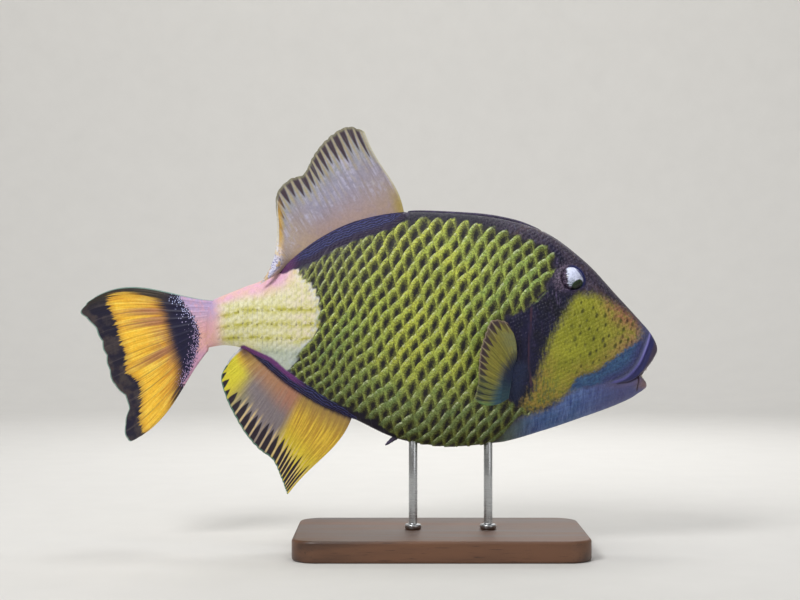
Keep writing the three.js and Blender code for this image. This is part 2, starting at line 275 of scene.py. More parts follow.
# Back X, Z, belly X, Z and half width in mm, from the lips to the end of the tail root
bodySections = np.array([
    [211.1, 182.8, 211.1, 182.8, 0.0],
    [219.4, 196.3, 215.8, 178.1, 11.5],
    [225.7, 209.5, 214.0, 169.0, 16.0],
    [219.4, 225.0, 204.5, 161.8, 20.0],
    [204.5, 242.5, 195.5, 156.3, 25.0],
    [182.0, 267.0, 174.7, 147.4, 31.5],
    [150.8, 300.3, 145.6, 137.0, 37.5],
    [109.2, 331.0, 109.2, 124.6, 42.0],
    [62.4, 346.1, 62.4, 111.6, 44.0],
    [10.4, 351.3, 10.4, 106.4, 43.0],
    [-41.6, 351.8, -41.6, 114.2, 39.5],
    [-88.4, 342.4, -88.4, 135.5, 34.0],
    [-124.8, 325.3, -124.8, 150.6, 28.5],
    [-156.0, 302.4, -156.0, 169.8, 23.5],
    [-182.0, 282.6, -182.0, 191.1, 19.0],
    [-202.8, 274.3, -202.8, 207.8, 16.0],
    [-222.6, 266.5, -222.6, 212.4, 13.0],
    [-236.1, 260.8, -239.2, 210.4, 8.2],
    [-242.3, 257.0, -247.6, 206.7, 4.0],
])
sectionsSquared = bodySections.copy()
sectionsSquared[:, 4] **= 2
tailEnd = len(bodySections) - 1.0
gillSection = 7.33


def alongRows(rows, s):
    # Catmull-Rom: a cubic between each two rows, whose end slopes are half the step between their neighbours
    last = len(rows) - 1
    i = np.clip(np.floor(s).astype(int), 0, last - 1)
    t = (s - i)[..., None]
    a, b = rows[i], rows[i + 1]
    slopeA = (b - rows[np.maximum(i - 1, 0)]) / 2
    slopeB = (rows[np.minimum(i + 2, last)] - a) / 2
    return a + t * (slopeA + t * (3 * (b - a) - 2 * slopeA - slopeB + t * (2 * (a - b) + slopeA + slopeB)))


def swing(x):
    # sideways swing of the tail: the square of the distance behind bendStart
    return body["bendRate"] * np.maximum(body["bendStart"] - x, 0) ** 2


def bodyPoint(s, angle, grow=0.0):
    # an ellipse between back and belly points, its width times |sin| to a power that pinches the edges
    s, angle, grow = alike(s, angle, grow)
    row = alongRows(sectionsSquared, s)
    topX, topZ, lowX, lowZ = (row[..., k] for k in range(4))
    width = np.sqrt(np.maximum(row[..., 4], 0))
    height, sine = np.cos(angle), np.sin(angle)
    half = np.hypot(topX - lowX, topZ - lowZ) / 2
    stretch = np.where(half > 0.5, 1 + grow / np.maximum(half, 0.5), 1)
    x = (topX + lowX) / 2 + (topX - lowX) / 2 * height * stretch
    z = (topZ + lowZ) / 2 + (topZ - lowZ) / 2 * height * stretch
    back = 0.86 + 0.36 * smoothStep(s, 4, 9) - 0.3 * smoothStep(s, 13, 16)
    belly = 0.9 + 0.28 * smoothStep(s, 4, 8) - 0.28 * smoothStep(s, 13, 16)
    pinch = belly + (back - belly) * (1 + height) / 2
    y = np.sign(sine) * np.abs(sine) ** pinch * (width + grow)
    return np.stack([x, y + swing(x), z], -1)


# Lines and outlines seen from the side, as X, Z in mm

def smoothLine(points, closed=False, perSpan=8):
    # centripetal Catmull-Rom curve through the points: knots spaced by the root of their distances
    p = np.asarray(points, float)
    p = np.vstack([p[-1], p, p[:2]]) if closed else np.vstack([2 * p[0] - p[1], p, 2 * p[-1] - p[-2]])
    gaps = np.maximum(np.linalg.norm(np.diff(p, axis=0), axis=1) ** 0.5, 1e-4)[:, None]
    p0, p1, p2, p3 = p[:-3], p[1:-2], p[2:-1], p[3:]
    d0, d1, d2 = gaps[:-2], gaps[1:-1], gaps[2:]
    m1 = ((p1 - p0) / d0 - (p2 - p0) / (d0 + d1) + (p2 - p1) / d1) * d1
    m2 = ((p2 - p1) / d1 - (p3 - p1) / (d1 + d2) + (p3 - p2) / d2) * d1
    t = np.linspace(0, 1, perSpan, endpoint=False)[None, :, None]
    a, b, c, d = (q[:, None] for q in (p1, m1, -3 * p1 + 3 * p2 - 2 * m1 - m2, 2 * p1 - 2 * p2 + m1 + m2))
    line = (a + t * (b + t * (c + t * d))).reshape(-1, p.shape[1])
    return line if closed else np.vstack([line, p[-2]])


def evenPoints(points, shares, perSpan=40):
    # points at given shares of the length of the smooth line
    line = smoothLine(points, perSpan=perSpan)
    length = np.concatenate([[0], np.cumsum(np.linalg.norm(np.diff(line, axis=0), axis=1))])
    return np.stack([np.interp(shares, length / length[-1], line[:, k]) for k in range(line.shape[1])], -1)


def lineField(x, z, points, closed=False):
    # distance in mm to a line, and the share of its length at the nearest place
    line = smoothLine(points, closed)
    if closed:
        line = np.vstack([line, line[:1]])
    steps = np.linalg.norm(np.diff(line, axis=0), axis=1)
    starts = np.concatenate([[0], np.cumsum(steps)])
    best, share = np.full(x.shape, 1e9), np.zeros(x.shape)
    for a, b, length, before in zip(line[:-1], line[1:], steps, starts):
        d = (b - a) / max(length, 1e-9)
        t = np.clip((x - a[0]) * d[0] + (z - a[1]) * d[1], 0, length)
        away = np.hypot(x - a[0] - t * d[0], z - a[1] - t * d[1])
        nearer = away < best
        best = np.where(nearer, away, best)
        share = np.where(nearer, (before + t) / starts[-1], share)
    return best, share


def insideField(x, z, points):
    # distance in mm to a closed outline, positive inside, where a ray to +X crosses it an odd number of times
    line = smoothLine(points, True)
    away, _ = lineField(x, z, points, True)
    inside = np.zeros(x.shape, bool)
    for a, b in zip(line, np.roll(line, -1, 0)):
        crosses = (a[1] > z) != (b[1] > z)
        where = (b[0] - a[0]) * (z - a[1]) / (b[1] - a[1] + 1e-12) + a[0]
        inside ^= crosses & (x < where)
    return np.where(inside, away, -away)


# Markings: outlines of the coloured areas on each side, from the side, in mm
areas = {
    "flank": [(114, 311), (91, 322), (60, 333), (40, 338.5), (18, 343), (-8, 344.5), (-32, 341), (-52, 335),
              (-82, 325), (-113, 311), (-131, 299), (-146, 286.5), (-139.5, 281.5), (-131.7, 275),
              (-125.4, 261), (-123.8, 245), (-127, 230), (-133, 217), (-141, 209), (-149, 198), (-154, 190),
              (-150, 181), (-133, 166), (-113, 156), (-92, 147), (-70, 136), (-52, 122), (-21, 108),
              (19, 102), (56, 112), (67, 124), (77, 137), (91, 145), (80, 150), (72, 156), (65, 166),
              (63, 214), (65, 242), (80, 247), (101, 265), (109, 275), (117, 299)],
    "tailRoot": [(-146, 290), (-138.5, 282), (-130.7, 275.3), (-124.4, 261.2), (-122.8, 245), (-126, 229.7),
                 (-132, 216.5), (-140, 208.4), (-148, 197.6), (-153, 189), (-160, 182), (-184, 196),
                 (-203, 203), (-237, 203), (-256, 200), (-256, 266), (-227, 270), (-206, 278), (-184, 286),
                 (-160, 297)],
    "cheek": [(135, 260), (142, 265), (162, 263.5), (178, 256.5), (192, 247), (202.5, 236.5), (206, 226),
              (202, 218), (187, 207), (172, 196), (157, 187), (142, 182), (137, 173), (126, 163),
              (121, 158), (106, 150), (91, 145), (82, 148), (89, 160), (96, 173), (101, 189), (106, 204),
              (114, 224), (124, 242)],
    "blue": [(132, 168), (137, 178), (144, 182), (158, 187), (173, 197), (188, 208), (201, 216), (208, 217),
             (207, 209), (200, 197), (188, 185), (175, 178), (163, 175), (147, 172)],
    "throat": [(214, 182), (202, 179), (183, 175), (163, 174), (134, 167), (122, 157), (107, 147), (91, 142),
               (78, 134), (66, 121), (56, 100), (81, 95), (122, 110), (163, 125), (204, 145), (230, 165)],
    "bar": [(112, 318), (128, 302), (128, 285), (136, 262), (124, 242), (114, 224), (106, 204), (101, 189),
            (96, 173), (89, 160), (80, 150), (68, 162), (63, 214), (65, 242), (80, 247), (101, 265),
            (109, 275), (117, 299)],
}
# Lines of the head: the fold behind the upper lip, the mouth's cleft, the gill slit, the pectoral fin's foot
headLines = {
    "fold": [(217, 226), (210, 209), (202, 193), (190, 181), (174, 174)],
    "cleft": [(214, 184), (208, 183.5), (203, 180), (195, 176), (181, 174)],
    "gill": [(92, 252), (90.5, 235), (89.5, 209), (90.5, 184), (94, 166)],
    "lobe": [(79, 190), (75, 176), (72, 162)],
}
# Outline of all that lies in front of the fold
lipOutline = headLines["fold"] + [(185, 150), (240, 150), (250, 240), (222, 240)]
# Bases of the fins and the lower edge of the scaly sheath along them
sheathLines = {
    "dorsal": [(-36, 350), (-68, 346), (-99, 340), (-125, 327), (-145, 313), (-163, 296)],
    "anal": [(-90, 136), (-125, 149), (-156, 168), (-182, 190), (-204, 208)],
}
# Width in mm of each sheath at shares of its line's length
sheathWidths = {
    "dorsal": [(0, 0.12, 0.45, 0.8, 1), (4, 15, 22, 20, 9)],
    "anal": [(0, 0.12, 0.4, 0.8, 1), (4, 9, 14, 13, 5)],
}
eyeAt = {"x": 133.3, "z": 280.6}


# Tables that turn lengths along and round the body into section and angle

sTable = np.linspace(0, tailEnd, 721)
angleTable = np.linspace(0, math.pi, 257)
shareTable = np.linspace(0, 1, 257)
ringTable = bodyPoint(sTable[:, None], angleTable[None, :])
girthSteps = np.linalg.norm(np.diff(ringTable, axis=1), axis=-1)
girthTable = np.concatenate([np.zeros((len(sTable), 1)), np.cumsum(girthSteps, 1)], 1)
shareOfAngle = girthTable / np.maximum(girthTable[:, -1:], 1e-6)
angleOfShare = np.stack([np.interp(shareTable, row, angleTable) for row in shareOfAngle])
lengthSteps = np.linalg.norm(np.diff(ringTable, axis=0), axis=-1).mean(1)
lengthTable = np.concatenate([[0], np.cumsum(lengthSteps)])


def lookUp(table, s, share):
    # value of a table between its rows and columns: the weighted mean of the four nearest entries
    rows, cols = table.shape
    fs = np.clip(s / tailEnd, 0, 1) * (rows - 1)
    fc = np.clip(share, 0, 1) * (cols - 1)
    i, j = np.minimum(fs.astype(int), rows - 2), np.minimum(fc.astype(int), cols - 2)
    a, b = fs - i, fc - j
    upper = table[i, j] * (1 - b) + table[i, j + 1] * b
    return upper * (1 - a) + (table[i + 1, j] * (1 - b) + table[i + 1, j + 1] * b) * a


def fromSide(x, z):
    # section and angle seen at X, Z from the side: the section is stepped until it passes through the place
    s = np.interp(-x, [-219, -200, -109, -10, 88, 156, 203, 245], [2.6, 4, 7, 9, 11, 13, 15, 18])
    for _ in range(12):
        row = alongRows(sectionsSquared, s)
        middle, half = (row[..., 1] + row[..., 3]) / 2, (row[..., 1] - row[..., 3]) / 2
        height = np.clip((z - middle) / np.maximum(half, 1), -0.999, 0.999)
        there = (row[..., 0] + row[..., 2]) / 2 + (row[..., 0] - row[..., 2]) / 2 * height
        s = np.clip(s + np.clip((there - x) / 36, -0.5, 0.5), 2.2, tailEnd)
    return s, np.arccos(height)


def sheathField(x, z, line):
    # mm inside a sheath: its width at the nearest place of its base line, less the distance from that line
    away, share = lineField(x, z, sheathLines[line])
    return np.interp(share, *sheathWidths[line]) - away


def markingFields(points, share):
    # the distances that the shaders turn into coloured areas, three to a field
    x, z = points[..., 0], points[..., 2]
    near = {key: insideField(x, z, outline) for key, outline in areas.items()}
    fold, _ = lineField(x, z, headLines["fold"])
    lips = np.where(insideField(x, z, lipOutline) > 0, fold, -fold)
    dorsal, anal = sheathField(x, z, "dorsal"), sheathField(x, z, "anal")
    eye = np.hypot(x - eyeAt["x"], z - eyeAt["z"])
    p, q = spotLattice(x, z)
    return {
        "areaOne": np.stack([near["flank"], near["tailRoot"], near["cheek"]], -1),
        "areaTwo": np.stack([near["blue"], near["throat"], near["bar"]], -1),
        "areaThree": np.stack([lips, np.maximum(dorsal, anal), eye], -1),
        "spots": np.stack([p, q, share], -1),
        "keels": np.stack([keelField(x, z), anal, dorsal], -1),
        "slits": np.stack([lineField(x, z, headLines[key])[0] for key in ("gill", "lobe", "cleft")], -1),
        "crease": np.stack([lineField(x, z, head["crease"])[0], share, share], -1),
    }


# Lattices of the flank's scales and of the cheek's spots

flankCoat = {
    "girthRows": 17.5,      # rows of scales from back to belly
    "tailPitch": 9.4,       # mm between columns at the tail root
    "midPitch": 12.9,
    "lean": 0.26,           # columns a row leans forward with each row down
    "fall": 0.17,           # rows that each column forward comes down
    "height": 1.35,         # mm, ridge over the skin
    "edgeX": (-175, 145),
}
# Steps of the spot lattice in X and Z, where it starts, and a spot's lean and half length and width in mm
cheekSpots = {"along": (8.4, 3.2), "down": (3.2, -10.4), "start": (150.0, 222.0), "lean": math.radians(72),
              "size": (2.3, 1.25)}

columnX = np.linspace(*flankCoat["edgeX"], 311)
widening = smoothStep(columnX, -140, -30)
columnPitch = flankCoat["tailPitch"] + (flankCoat["midPitch"] - flankCoat["tailPitch"]) * widening
columnCount = np.cumsum(1 / columnPitch)


def scaleLattice(x, share):
    # scale coordinates: i counts towards the front, j down, both leaning as the rows do
    u = np.interp(x, columnX, columnCount)
    e = share * flankCoat["girthRows"]
    lean, fall = flankCoat["lean"], flankCoat["fall"]
    i = (u - lean * e) / (1 - lean * fall)
    return i, e - fall * i


def scalePlace(i, j):
    # the reverse of scaleLattice: X and share of the half girth
    x = np.interp(i + flankCoat["lean"] * j, columnCount, columnX)
    return x, (j + flankCoat["fall"] * i) / flankCoat["girthRows"]


def spotLattice(x, z):
    # cheek spots sit at whole numbers of steps along and down a leaning lattice
    (ax, az), (dx, dz) = cheekSpots["along"], cheekSpots["down"]
    x0, z0 = cheekSpots["start"]
    det = ax * dz - az * dx
    return ((x - x0) * dz - (z - z0) * dx) / det, (ax * (z - z0) - az * (x - x0)) / det


# Skin: the body's surface, sunk by the depth of its coat, with the folds of the head

head = {
    "foldHeight": 0.9,
    "cleftDepth": 1.7,
    "gillDepth": 1.5,
    "socketDepth": 5.0,
    "rimHeight": 0.8,
    "lidHeight": 2.4,       # mm, fold of skin over the rear and lower edge of the eyeball
    "nostrils": [(159.0, 276.0), (164.5, 272.5)],
    "slot": [(152, 272), (160, 268), (172, 260)],       # furrow in front of the eye
    "pectoralBase": [(77, 199), (73, 180), (69, 161)],
    "crease": [(204.2, 180), (203.6, 173), (203.0, 166)],    # behind the pad of the lower lip
    "notch": [(232, 160), (216.5, 165), (214.8, 170), (213.8, 174.5), (211.6, 178), (208.5, 181),
              (210.8, 184.3), (220.5, 197), (226.8, 209), (240, 212)],
    "spineRun": (108, -36),      # X from the root to the tip of the folded spine
}


def bump1d(d, centre, width):
    # a smooth hump: e to the power of minus the square of the distance over the width
    return np.exp(-((d - centre) / width) ** 2)


def skinPoint(s, angle, lift):
    # body surface moved along its normal by the relief of the head, less the depth of the coat, plus lift
    s, angle, lift = alike(s, angle, lift)
    side = np.where(np.sin(angle) < 0, -1.0, 1.0)
    folded = np.clip(np.where(angle > math.pi, 2 * math.pi - angle, angle), 0.0, math.pi)
    inner = np.clip(folded, 0.03, math.pi - 0.03)
    along = bodyPoint(np.minimum(s + 0.02, tailEnd), inner) - bodyPoint(np.maximum(s - 0.02, 0), inner)
    across = bodyPoint(s, inner + 0.01) - bodyPoint(s, inner - 0.01)
    n = unit(np.cross(across, along))
    edge = np.minimum(folded, math.pi - folded)
    n[..., 1] *= np.clip(edge / 0.03, 0, 1)
    n = unit(n)
    base = bodyPoint(s, folded)
    share = lookUp(shareOfAngle, s, folded / math.pi)
    fields = markingFields(base, share)
    x, y, z = base[..., 0], base[..., 1] - swing(base[..., 0]), base[..., 2]
    flank = fields["areaOne"][..., 0]
    lips, _, eye = (fields["areaThree"][..., k] for k in range(3))
    depth = body["headCoatDepth"] + (body["coatDepth"] - body["headCoatDepth"]) * smoothStep(flank, -7, 3)

    _, foldShare = lineField(x, z, headLines["fold"])
    foldFade = smoothStep(foldShare, 0, 0.12) * (1 - smoothStep(foldShare, 0.85, 1))
    roll = bump1d(lips, 0.6, 1.5) - 0.9 * bump1d(lips, -2.4, 1.6) - 0.7 * bump1d(lips, 3.6, 1.5)
    d = head["foldHeight"] * foldFade * roll
    cleft, cleftShare = lineField(x, z, headLines["cleft"])
    cleftFade = 1 - smoothStep(cleftShare, 0.55, 1)
    d += cleftFade * (0.8 * bump1d(cleft, 4.2, 2.2) - head["cleftDepth"] * bump1d(cleft, 0, 1.0))
    gill, gillShare = lineField(x, z, headLines["gill"])
    gillFade = smoothStep(gillShare, 0, 0.1) * (1 - smoothStep(gillShare, 0.9, 1))
    d += gillFade * (0.5 * bump1d(gill, 3, 2) - head["gillDepth"] * bump1d(gill, 0, 1.1))
    crease, creaseShare = lineField(x, z, head["crease"])
    d -= 0.9 * bump1d(crease, 0, 1.0) * (1 - smoothStep(creaseShare, 0.7, 1))
    slot, slotShare = lineField(x, z, head["slot"])
    d -= 0.9 * bump1d(slot, 0, 1.5) * smoothStep(slotShare, 0, 0.2) * (1 - smoothStep(slotShare, 0.7, 1))
    for place in head["nostrils"]:
        r = np.hypot(x - place[0], z - place[1])
        d += 0.45 * bump1d(r, 2.2, 0.8) - 1.5 * bump1d(r, 0, 1.2)
    lobe, lobeShare = lineField(x, z, head["pectoralBase"])
    d += 2.0 * bump1d(lobe, 0, 6) * smoothStep(lobeShare, 0, 0.2) * (1 - smoothStep(lobeShare, 0.8, 1))
    d += head["rimHeight"] * bump1d(eye, 13.6, 1.8) - 0.5 * bump1d(eye, 17.6, 1.9)
    behindEye = smoothStep(0.8 * (eyeAt["x"] - x) + 0.5 * (eyeAt["z"] - z), 0, 9)
    d += head["lidHeight"] * behindEye * bump1d(eye, 11.8, 3.4)
    d -= head["socketDepth"] * (1 - smoothStep(eye, 8.6, 10.8))
    d -= 1.0 * smoothStep(s, tailEnd - 1.0, tailEnd)
    front, rear = head["spineRun"]
    run = np.clip((front - x) / (front - rear), 0, 1)
    groove = smoothStep(run, 0, 0.02) * (1 - smoothStep(run, 0.97, 1)) * (z > 300)
    d -= 2.6 * groove * (1 - smoothStep(np.abs(y), 3.4 - 2.2 * run, 5.0 - 2.2 * run))

    point = base + n * (d - depth + lift)[..., None]
    notch = np.asarray(head["notch"], float)
    limit = np.interp(point[..., 2], notch[:, 1], notch[:, 0], left=400, right=400) - 0.012 * y ** 2
    over = point[..., 0] - limit + lift
    point[..., 0] -= np.where(s < 5, np.logaddexp(0, over / 0.5) * 0.5, 0)
    point[..., 1] = swing(point[..., 0]) + side * np.abs(point[..., 1] - swing(point[..., 0]))
    i, j = scaleLattice(base[..., 0], share)
    dark = 1 - smoothStep(flank, 0, 26) * (1 - 0.75 * smoothStep(z, 225, 315) * (1 - smoothStep(x, -75, 40)))
    dark = dark * (0.4 + 0.6 * smoothStep(z, 130, 200))
    fields["scaleCell"] = np.stack([i, i + j, dark], -1)
    return point, fields


def unwrap(s, share, side):
    # place on the unwrapped skin: length along it, and way round it from the back by the left side
    u = 0.02 + 0.96 * np.interp(s, sTable, lengthTable) / lengthTable[-1]
    return np.stack([u, 0.5 - side * (0.496 - 0.49 * share)], -1)


def makeSkin(material):
    # rings of skinPoint, evenly spaced along the body in each of three stretches and evenly round it
    ends = [0.03, gillSection, 13.0, tailEnd]
    rows = []
    for a, b, count in zip(ends[:-1], ends[1:], (body["headRows"], body["trunkRows"], body["tailRows"])):
        lengths = np.linspace(*np.interp([a, b], sTable, lengthTable), count, endpoint=b == tailEnd)
        rows.append(np.interp(lengths, lengthTable, sTable))
    s = np.concatenate(rows)[:, None]
    around = body["around"]
    turn = np.arange(around) / around * 2       # 0 at the back, 1 at the belly, on to 2
    share = np.where(turn > 1, 2 - turn, turn)[None, :]
    folded = lookUp(angleOfShare, *np.broadcast_arrays(s, share))
    angle = np.where(turn[None, :] > 1, 2 * math.pi - folded, folded)
    grid, fields = skinPoint(s, angle, 0.0)
    for key, values in fields.items():
        flat = values.reshape(-1, 3)
        fields[key] = np.vstack([flat, flat[:1], flat[-1:]])
    u = 0.02 + 0.96 * np.interp(s, sTable, lengthTable) / lengthTable[-1]
    uv = np.stack(np.broadcast_arrays(u, 0.5 * turn[None, :]), -1).reshape(-1, 2)
    uv = np.vstack([uv, [[0.01, 0.5]], [[0.99, 0.5]]])
    nodes = ("head", "lower_jaw", "trunk", "peduncle")
    piece = closedTube("skin", grid, material, nodes, fields, uv)
    layer = piece.data.uv_layers["OFBake"]
    corners = np.empty(len(layer.data) * 2, dtype=np.float32)
    layer.data.foreach_get("uv", corners)
    # faces that cross from the last column to the first keep to the far edge of the map
    around4 = corners[:len(s[1:]) * around * 8].reshape(-1, 4, 2)
    crossing = np.ptp(around4[..., 1], axis=1) > 0.5
    around4[..., 1] = np.where(crossing[:, None] & (around4[..., 1] == 0), 1.0, around4[..., 1])
    layer.data.foreach_set("uv", corners)
    return piece


coatPatch = 0.003      # share of the bake map that one scale covers


def makeCoat(name, s, angle, lift, cell, roots, side, material, dark=None):
    # plates of a coat: each is a grid of s, angle and lift over the skin, with its own place in the cell,
    # and its patch of the bake map is coatPatch across at the root of the plate
    points, fields = skinPoint(s, np.where(side < 0, 2 * math.pi - angle, angle), lift)
    count, rows, cols = lift.shape
    step = np.cross(points[:, 1:, :-1] - points[:, :-1, :-1], points[:, :-1, 1:] - points[:, :-1, :-1])
    quads = gridQuads(rows, cols)
    if step[..., 1].mean() * side < 0:
        quads = quads[:, ::-1]
    faces = (quads[None] + (np.arange(count) * rows * cols)[:, None, None]).reshape(-1, 4)
    if dark is not None:
        hollow = np.clip(fields["scaleCell"][..., 2] + dark[:, None, None], 0, 1.3)
        fields["scaleCell"] = np.concatenate([np.clip(cell, 0.001, 0.999), hollow[..., None]], -1)
    fields = {key: values.reshape(-1, 3) for key, values in fields.items()}
    uv = unwrap(*roots, side)[:, None, None, :] + coatPatch * (np.broadcast_to(cell, lift.shape + (2,)) - 0.5)
    return makePiece(name, points, [faces], material, fields, bakeUv=uv.reshape(-1, 2))


def cellPlaces(p, q, count):
    # the place in its cell of each point of count plates
    return np.stack(np.broadcast_arrays(p, q), -1)[0] + np.zeros((count, 1, 1, 2))


def flankScales(side, material):
    # each scale has a high ridge along its upper edge and a lower one along its rear edge,
    # and sinks under the next
    edge = 1.06
    a = np.array([0, 0, 0.07, 0.2, 0.4, 0.62, 0.84, edge])
    b = np.array([0, 0, 0.08, 0.2, 0.36, 0.54, 0.72, 0.9, edge])
    i, j = pairs(np.arange(-2, 30), np.arange(-8, 22))
    x, share = scalePlace(i + 0.5, j)
    s, angle = sideOfShare(x, share)
    centre = bodyPoint(s, angle)
    keep = (share > 0.005) & (share < 0.985) & (insideField(centre[:, 0], centre[:, 2], areas["flank"]) > 1.5)
    i, j = i[keep], j[keep]
    count = len(i)
    nudge = rng.normal(0, 0.04, (count, 2))
    ca, cb = a[None, :, None], b[None, None, :]
    along = (i + nudge[:, 0])[:, None, None] + ca
    down = (j + nudge[:, 1])[:, None, None] - ca + cb - 0.09 * np.sin(math.pi * ca) * (1 - cb)
    strayAlong = 0.10 * np.sin(0.7 * down + 0.45 * along)
    strayDown = 0.09 * np.sin(0.8 * along - 0.6 * down + 1)
    x, share = scalePlace(along + strayAlong, down + strayDown)
    s, angle = sideOfShare(x, np.clip(share, 0.0, 0.999))
    ridgeB = np.where(cb < 0.2, 0.82 + 0.18 * np.sin(cb / 0.2 * math.pi / 2), bump1d(cb, 0.2, 0.34))
    ridgeB = ridgeB * (0.88 + 0.12 * np.sin(3.1 * ca))
    ridgeA = 0.74 * np.maximum(np.where(ca < 0.1, 0.92, bump1d(ca, 0.1, 0.28)), 0.7 * bump1d(ca, 1.1, 0.16))
    ridge = np.maximum(ridgeB, ridgeA * (1 - 0.2 * cb))
    rise = 0.04 + 0.96 * ridge * (1 - 0.25 * smoothStep(ca, 0.85, edge))
    rise = np.maximum(rise, 0.35 * smoothStep(cb, 0.9, 1.06))
    lift = flankCoat["height"] * rise * (1 + rng.normal(0, 0.07, count))[:, None, None]
    lift = np.minimum(lift, flankCoat["height"])
    lift[:, 0, :] = -0.5
    lift[:, :, 0] = -0.5
    cell = cellPlaces(ca, cb, count)
    roots = (s[:, 1, 1], share[:, 1, 1])
    name, dark = "flank_scales_" + sideNames[side], rng.normal(0, 0.10, count)
    return makeCoat(name, s, angle, lift, cell, roots, side, material, dark)


def sideOfShare(x, share):
    # section at X on the flank and the angle whose share of the half girth is given
    s = np.interp(-x, trunkX, trunkS)
    return s, lookUp(angleOfShare, s, share)


trunkS = np.linspace(3, tailEnd, 400)
trunkX = -alongRows(bodySections, trunkS)[:, [0, 2]].mean(1)

# Small plates of the head, the throat and the tail root: spacing and size in mm, seen from the side
smallCoats = {
    "head_plates_": {
        "along": (3.1, 1.5), "down": (1.2, -3.7), "size": (3.7, 4.3), "rise": 0.045, "stray": 0.5,
        "box": ((-60, 226), (120, 352)),
    },
    "throat_plates_": {
        "along": (2.6, 0.9), "down": (1.0, -5.4), "size": (2.8, 6.4), "rise": 0.07, "stray": 0.5,
        "box": ((50, 226), (90, 200)),
    },
    "tail_root_plates_": {
        "along": (5.1, 3.45), "down": (0.0, -6.9), "size": (5.8, 7.3), "rise": 0.07, "stray": 0.7,
        "box": ((-246, -118), (196, 300)),
    },
}


def plateRoots(s, angle):
    # section and share of the half girth at the middle of each plate of five by five points
    s, angle = s[:, 2, 2], angle[:, 2, 2]
    return s, lookUp(shareOfAngle, s, angle / math.pi)


def smallPlates(kind, keepWhere, side, material, spines=None):
    # domed plates on a leaning lattice: half an ellipse high, lower in front, with sunk edges
    style = smallCoats[kind]
    (ax, az), (dx, dz) = style["along"], style["down"]
    (x0, x1), (z0, z1) = style["box"]
    reach = int((x1 - x0) / ax) + 60
    i, j = pairs(np.arange(-reach, reach), np.arange(-80, 80))
    x, z = x0 + i * ax + j * dx, z1 + i * az + j * dz
    inBox = (x > x0) & (x < x1) & (z > z0) & (z < z1)
    x, z = x[inBox], z[inBox]
    x = x + rng.normal(0, style["stray"], len(x))
    z = z + rng.normal(0, style["stray"], len(z))
    s, angle = fromSide(x, z)
    seen = bodyPoint(s, angle)
    near = (np.abs(seen[:, 0] - x) < 1.5) & (np.abs(seen[:, 2] - z) < 1.5)
    keep = near & keepWhere(x, z, s)
    x, z = x[keep], z[keep]
    steps = np.array([-0.5, -0.42, 0.0, 0.42, 0.5])
    p, q = steps[None, :, None], steps[None, None, :]
    w, h = style["size"]
    ux, uz = np.array([ax, az]) / math.hypot(ax, az) * w
    vx, vz = np.array([dx, dz]) / math.hypot(dx, dz) * h
    corner = np.sqrt(np.clip(1 - 1.2 * (p * q * 2) ** 2 * 2, 0.6, 1))
    px = x[:, None, None] + (p * ux + q * vx) * corner
    pz = z[:, None, None] + (p * uz + q * vz) * corner
    s, angle = fromSide(px, pz)
    inner = (np.abs(p) < 0.45) & (np.abs(q) < 0.45)
    dome = (1 - 1.5 * p ** 2) * (1 - 1.5 * q ** 2) * (1 - 0.5 * p)
    lift = np.where(inner, style["rise"] * dome, -0.25) * (1 + rng.normal(0, 0.1, len(x)))[:, None, None]
    if spines is not None:
        lift += np.where((p == 0) & (q == 0), spines(x, z)[:, None, None], 0)
    cell = cellPlaces(p + 0.5, q + 0.5, len(x))
    name = kind + sideNames[side]
    return makeCoat(name, s, angle, lift, cell, plateRoots(s, angle), side, material)


def clearOf(x, z):
    # mm by which a plate clears the eye, the lips, the mouth, the gill slit and the nostrils
    fold, cleft, gill = (lineField(x, z, headLines[key])[0] for key in ("fold", "cleft", "gill"))
    eye = np.hypot(x - eyeAt["x"], z - eyeAt["z"]) - 16.0
    nostril = np.hypot(x - head["nostrils"][0][0], z - head["nostrils"][0][1]) - 4
    return np.minimum.reduce([fold - 3.5, cleft - 3.5, gill - 2.2, eye, nostril])


def headPlates(side, material):
    # small plates over the head, in front of the flank's scales
    def keepWhere(x, z, s):
        # outside the flank, the throat, the tail root, the lips and the sheath, and clear of the furrows
        inside = {key: insideField(x, z, areas[key]) for key in ("flank", "throat", "tailRoot")}
        lips = insideField(x, z, lipOutline)
        return ((inside["flank"] < -1) & (inside["throat"] < 0) & (inside["tailRoot"] < 0) & (lips < 0)
                & (sheathField(x, z, "dorsal") < 0) & (clearOf(x, z) > 0) & (s > 2.9) & (x > -60) & (z > 120))
    return smallPlates("head_plates_", keepWhere, side, material)


def throatPlates(side, material):
    # long narrow plates under the head
    def keepWhere(x, z, s):
        # inside the throat's outline and clear of the furrows
        return (insideField(x, z, areas["throat"]) > 0) & (clearOf(x, z) > 0) & (s > 2.4)
    return smallPlates("throat_plates_", keepWhere, side, material)


# Rows of small keels along the tail root: Z of the second row and spacing of the rows at three X
keelRows = {"x": (-233, -202, -140), "z": (230, 235.5, 235.2), "spacing": (11.5, 13.9, 15.6)}


def keelField(x, z):
    # rows from the second keel row, positive upwards
    return (z - np.interp(x, keelRows["x"], keelRows["z"])) / np.interp(x, keelRows["x"], keelRows["spacing"])


def tailPlates(side, material):
    # plates of the tail root, with a short spine in the middle of each plate of a keel row
    def keepWhere(x, z, s):
        # inside the tail root's outline, off both sheaths and in front of the fin
        clear = np.maximum(sheathField(x, z, "anal"), sheathField(x, z, "dorsal")) < 0
        return (insideField(x, z, areas["tailRoot"]) > -1) & clear & (x > -234)

    def spines(x, z):
        # 0.4 mm on the four keel rows, falling to 0 beside them, and rising towards the tail
        row = keelField(x, z)
        near = 1 - smoothStep(np.abs(row - np.round(row)), 0.1, 0.3)
        return 0.4 * near * smoothStep(-x, 135, 175) * (np.abs(row + 0.5) < 2.2)
    return smallPlates("tail_root_plates_", keepWhere, side, material, spines)


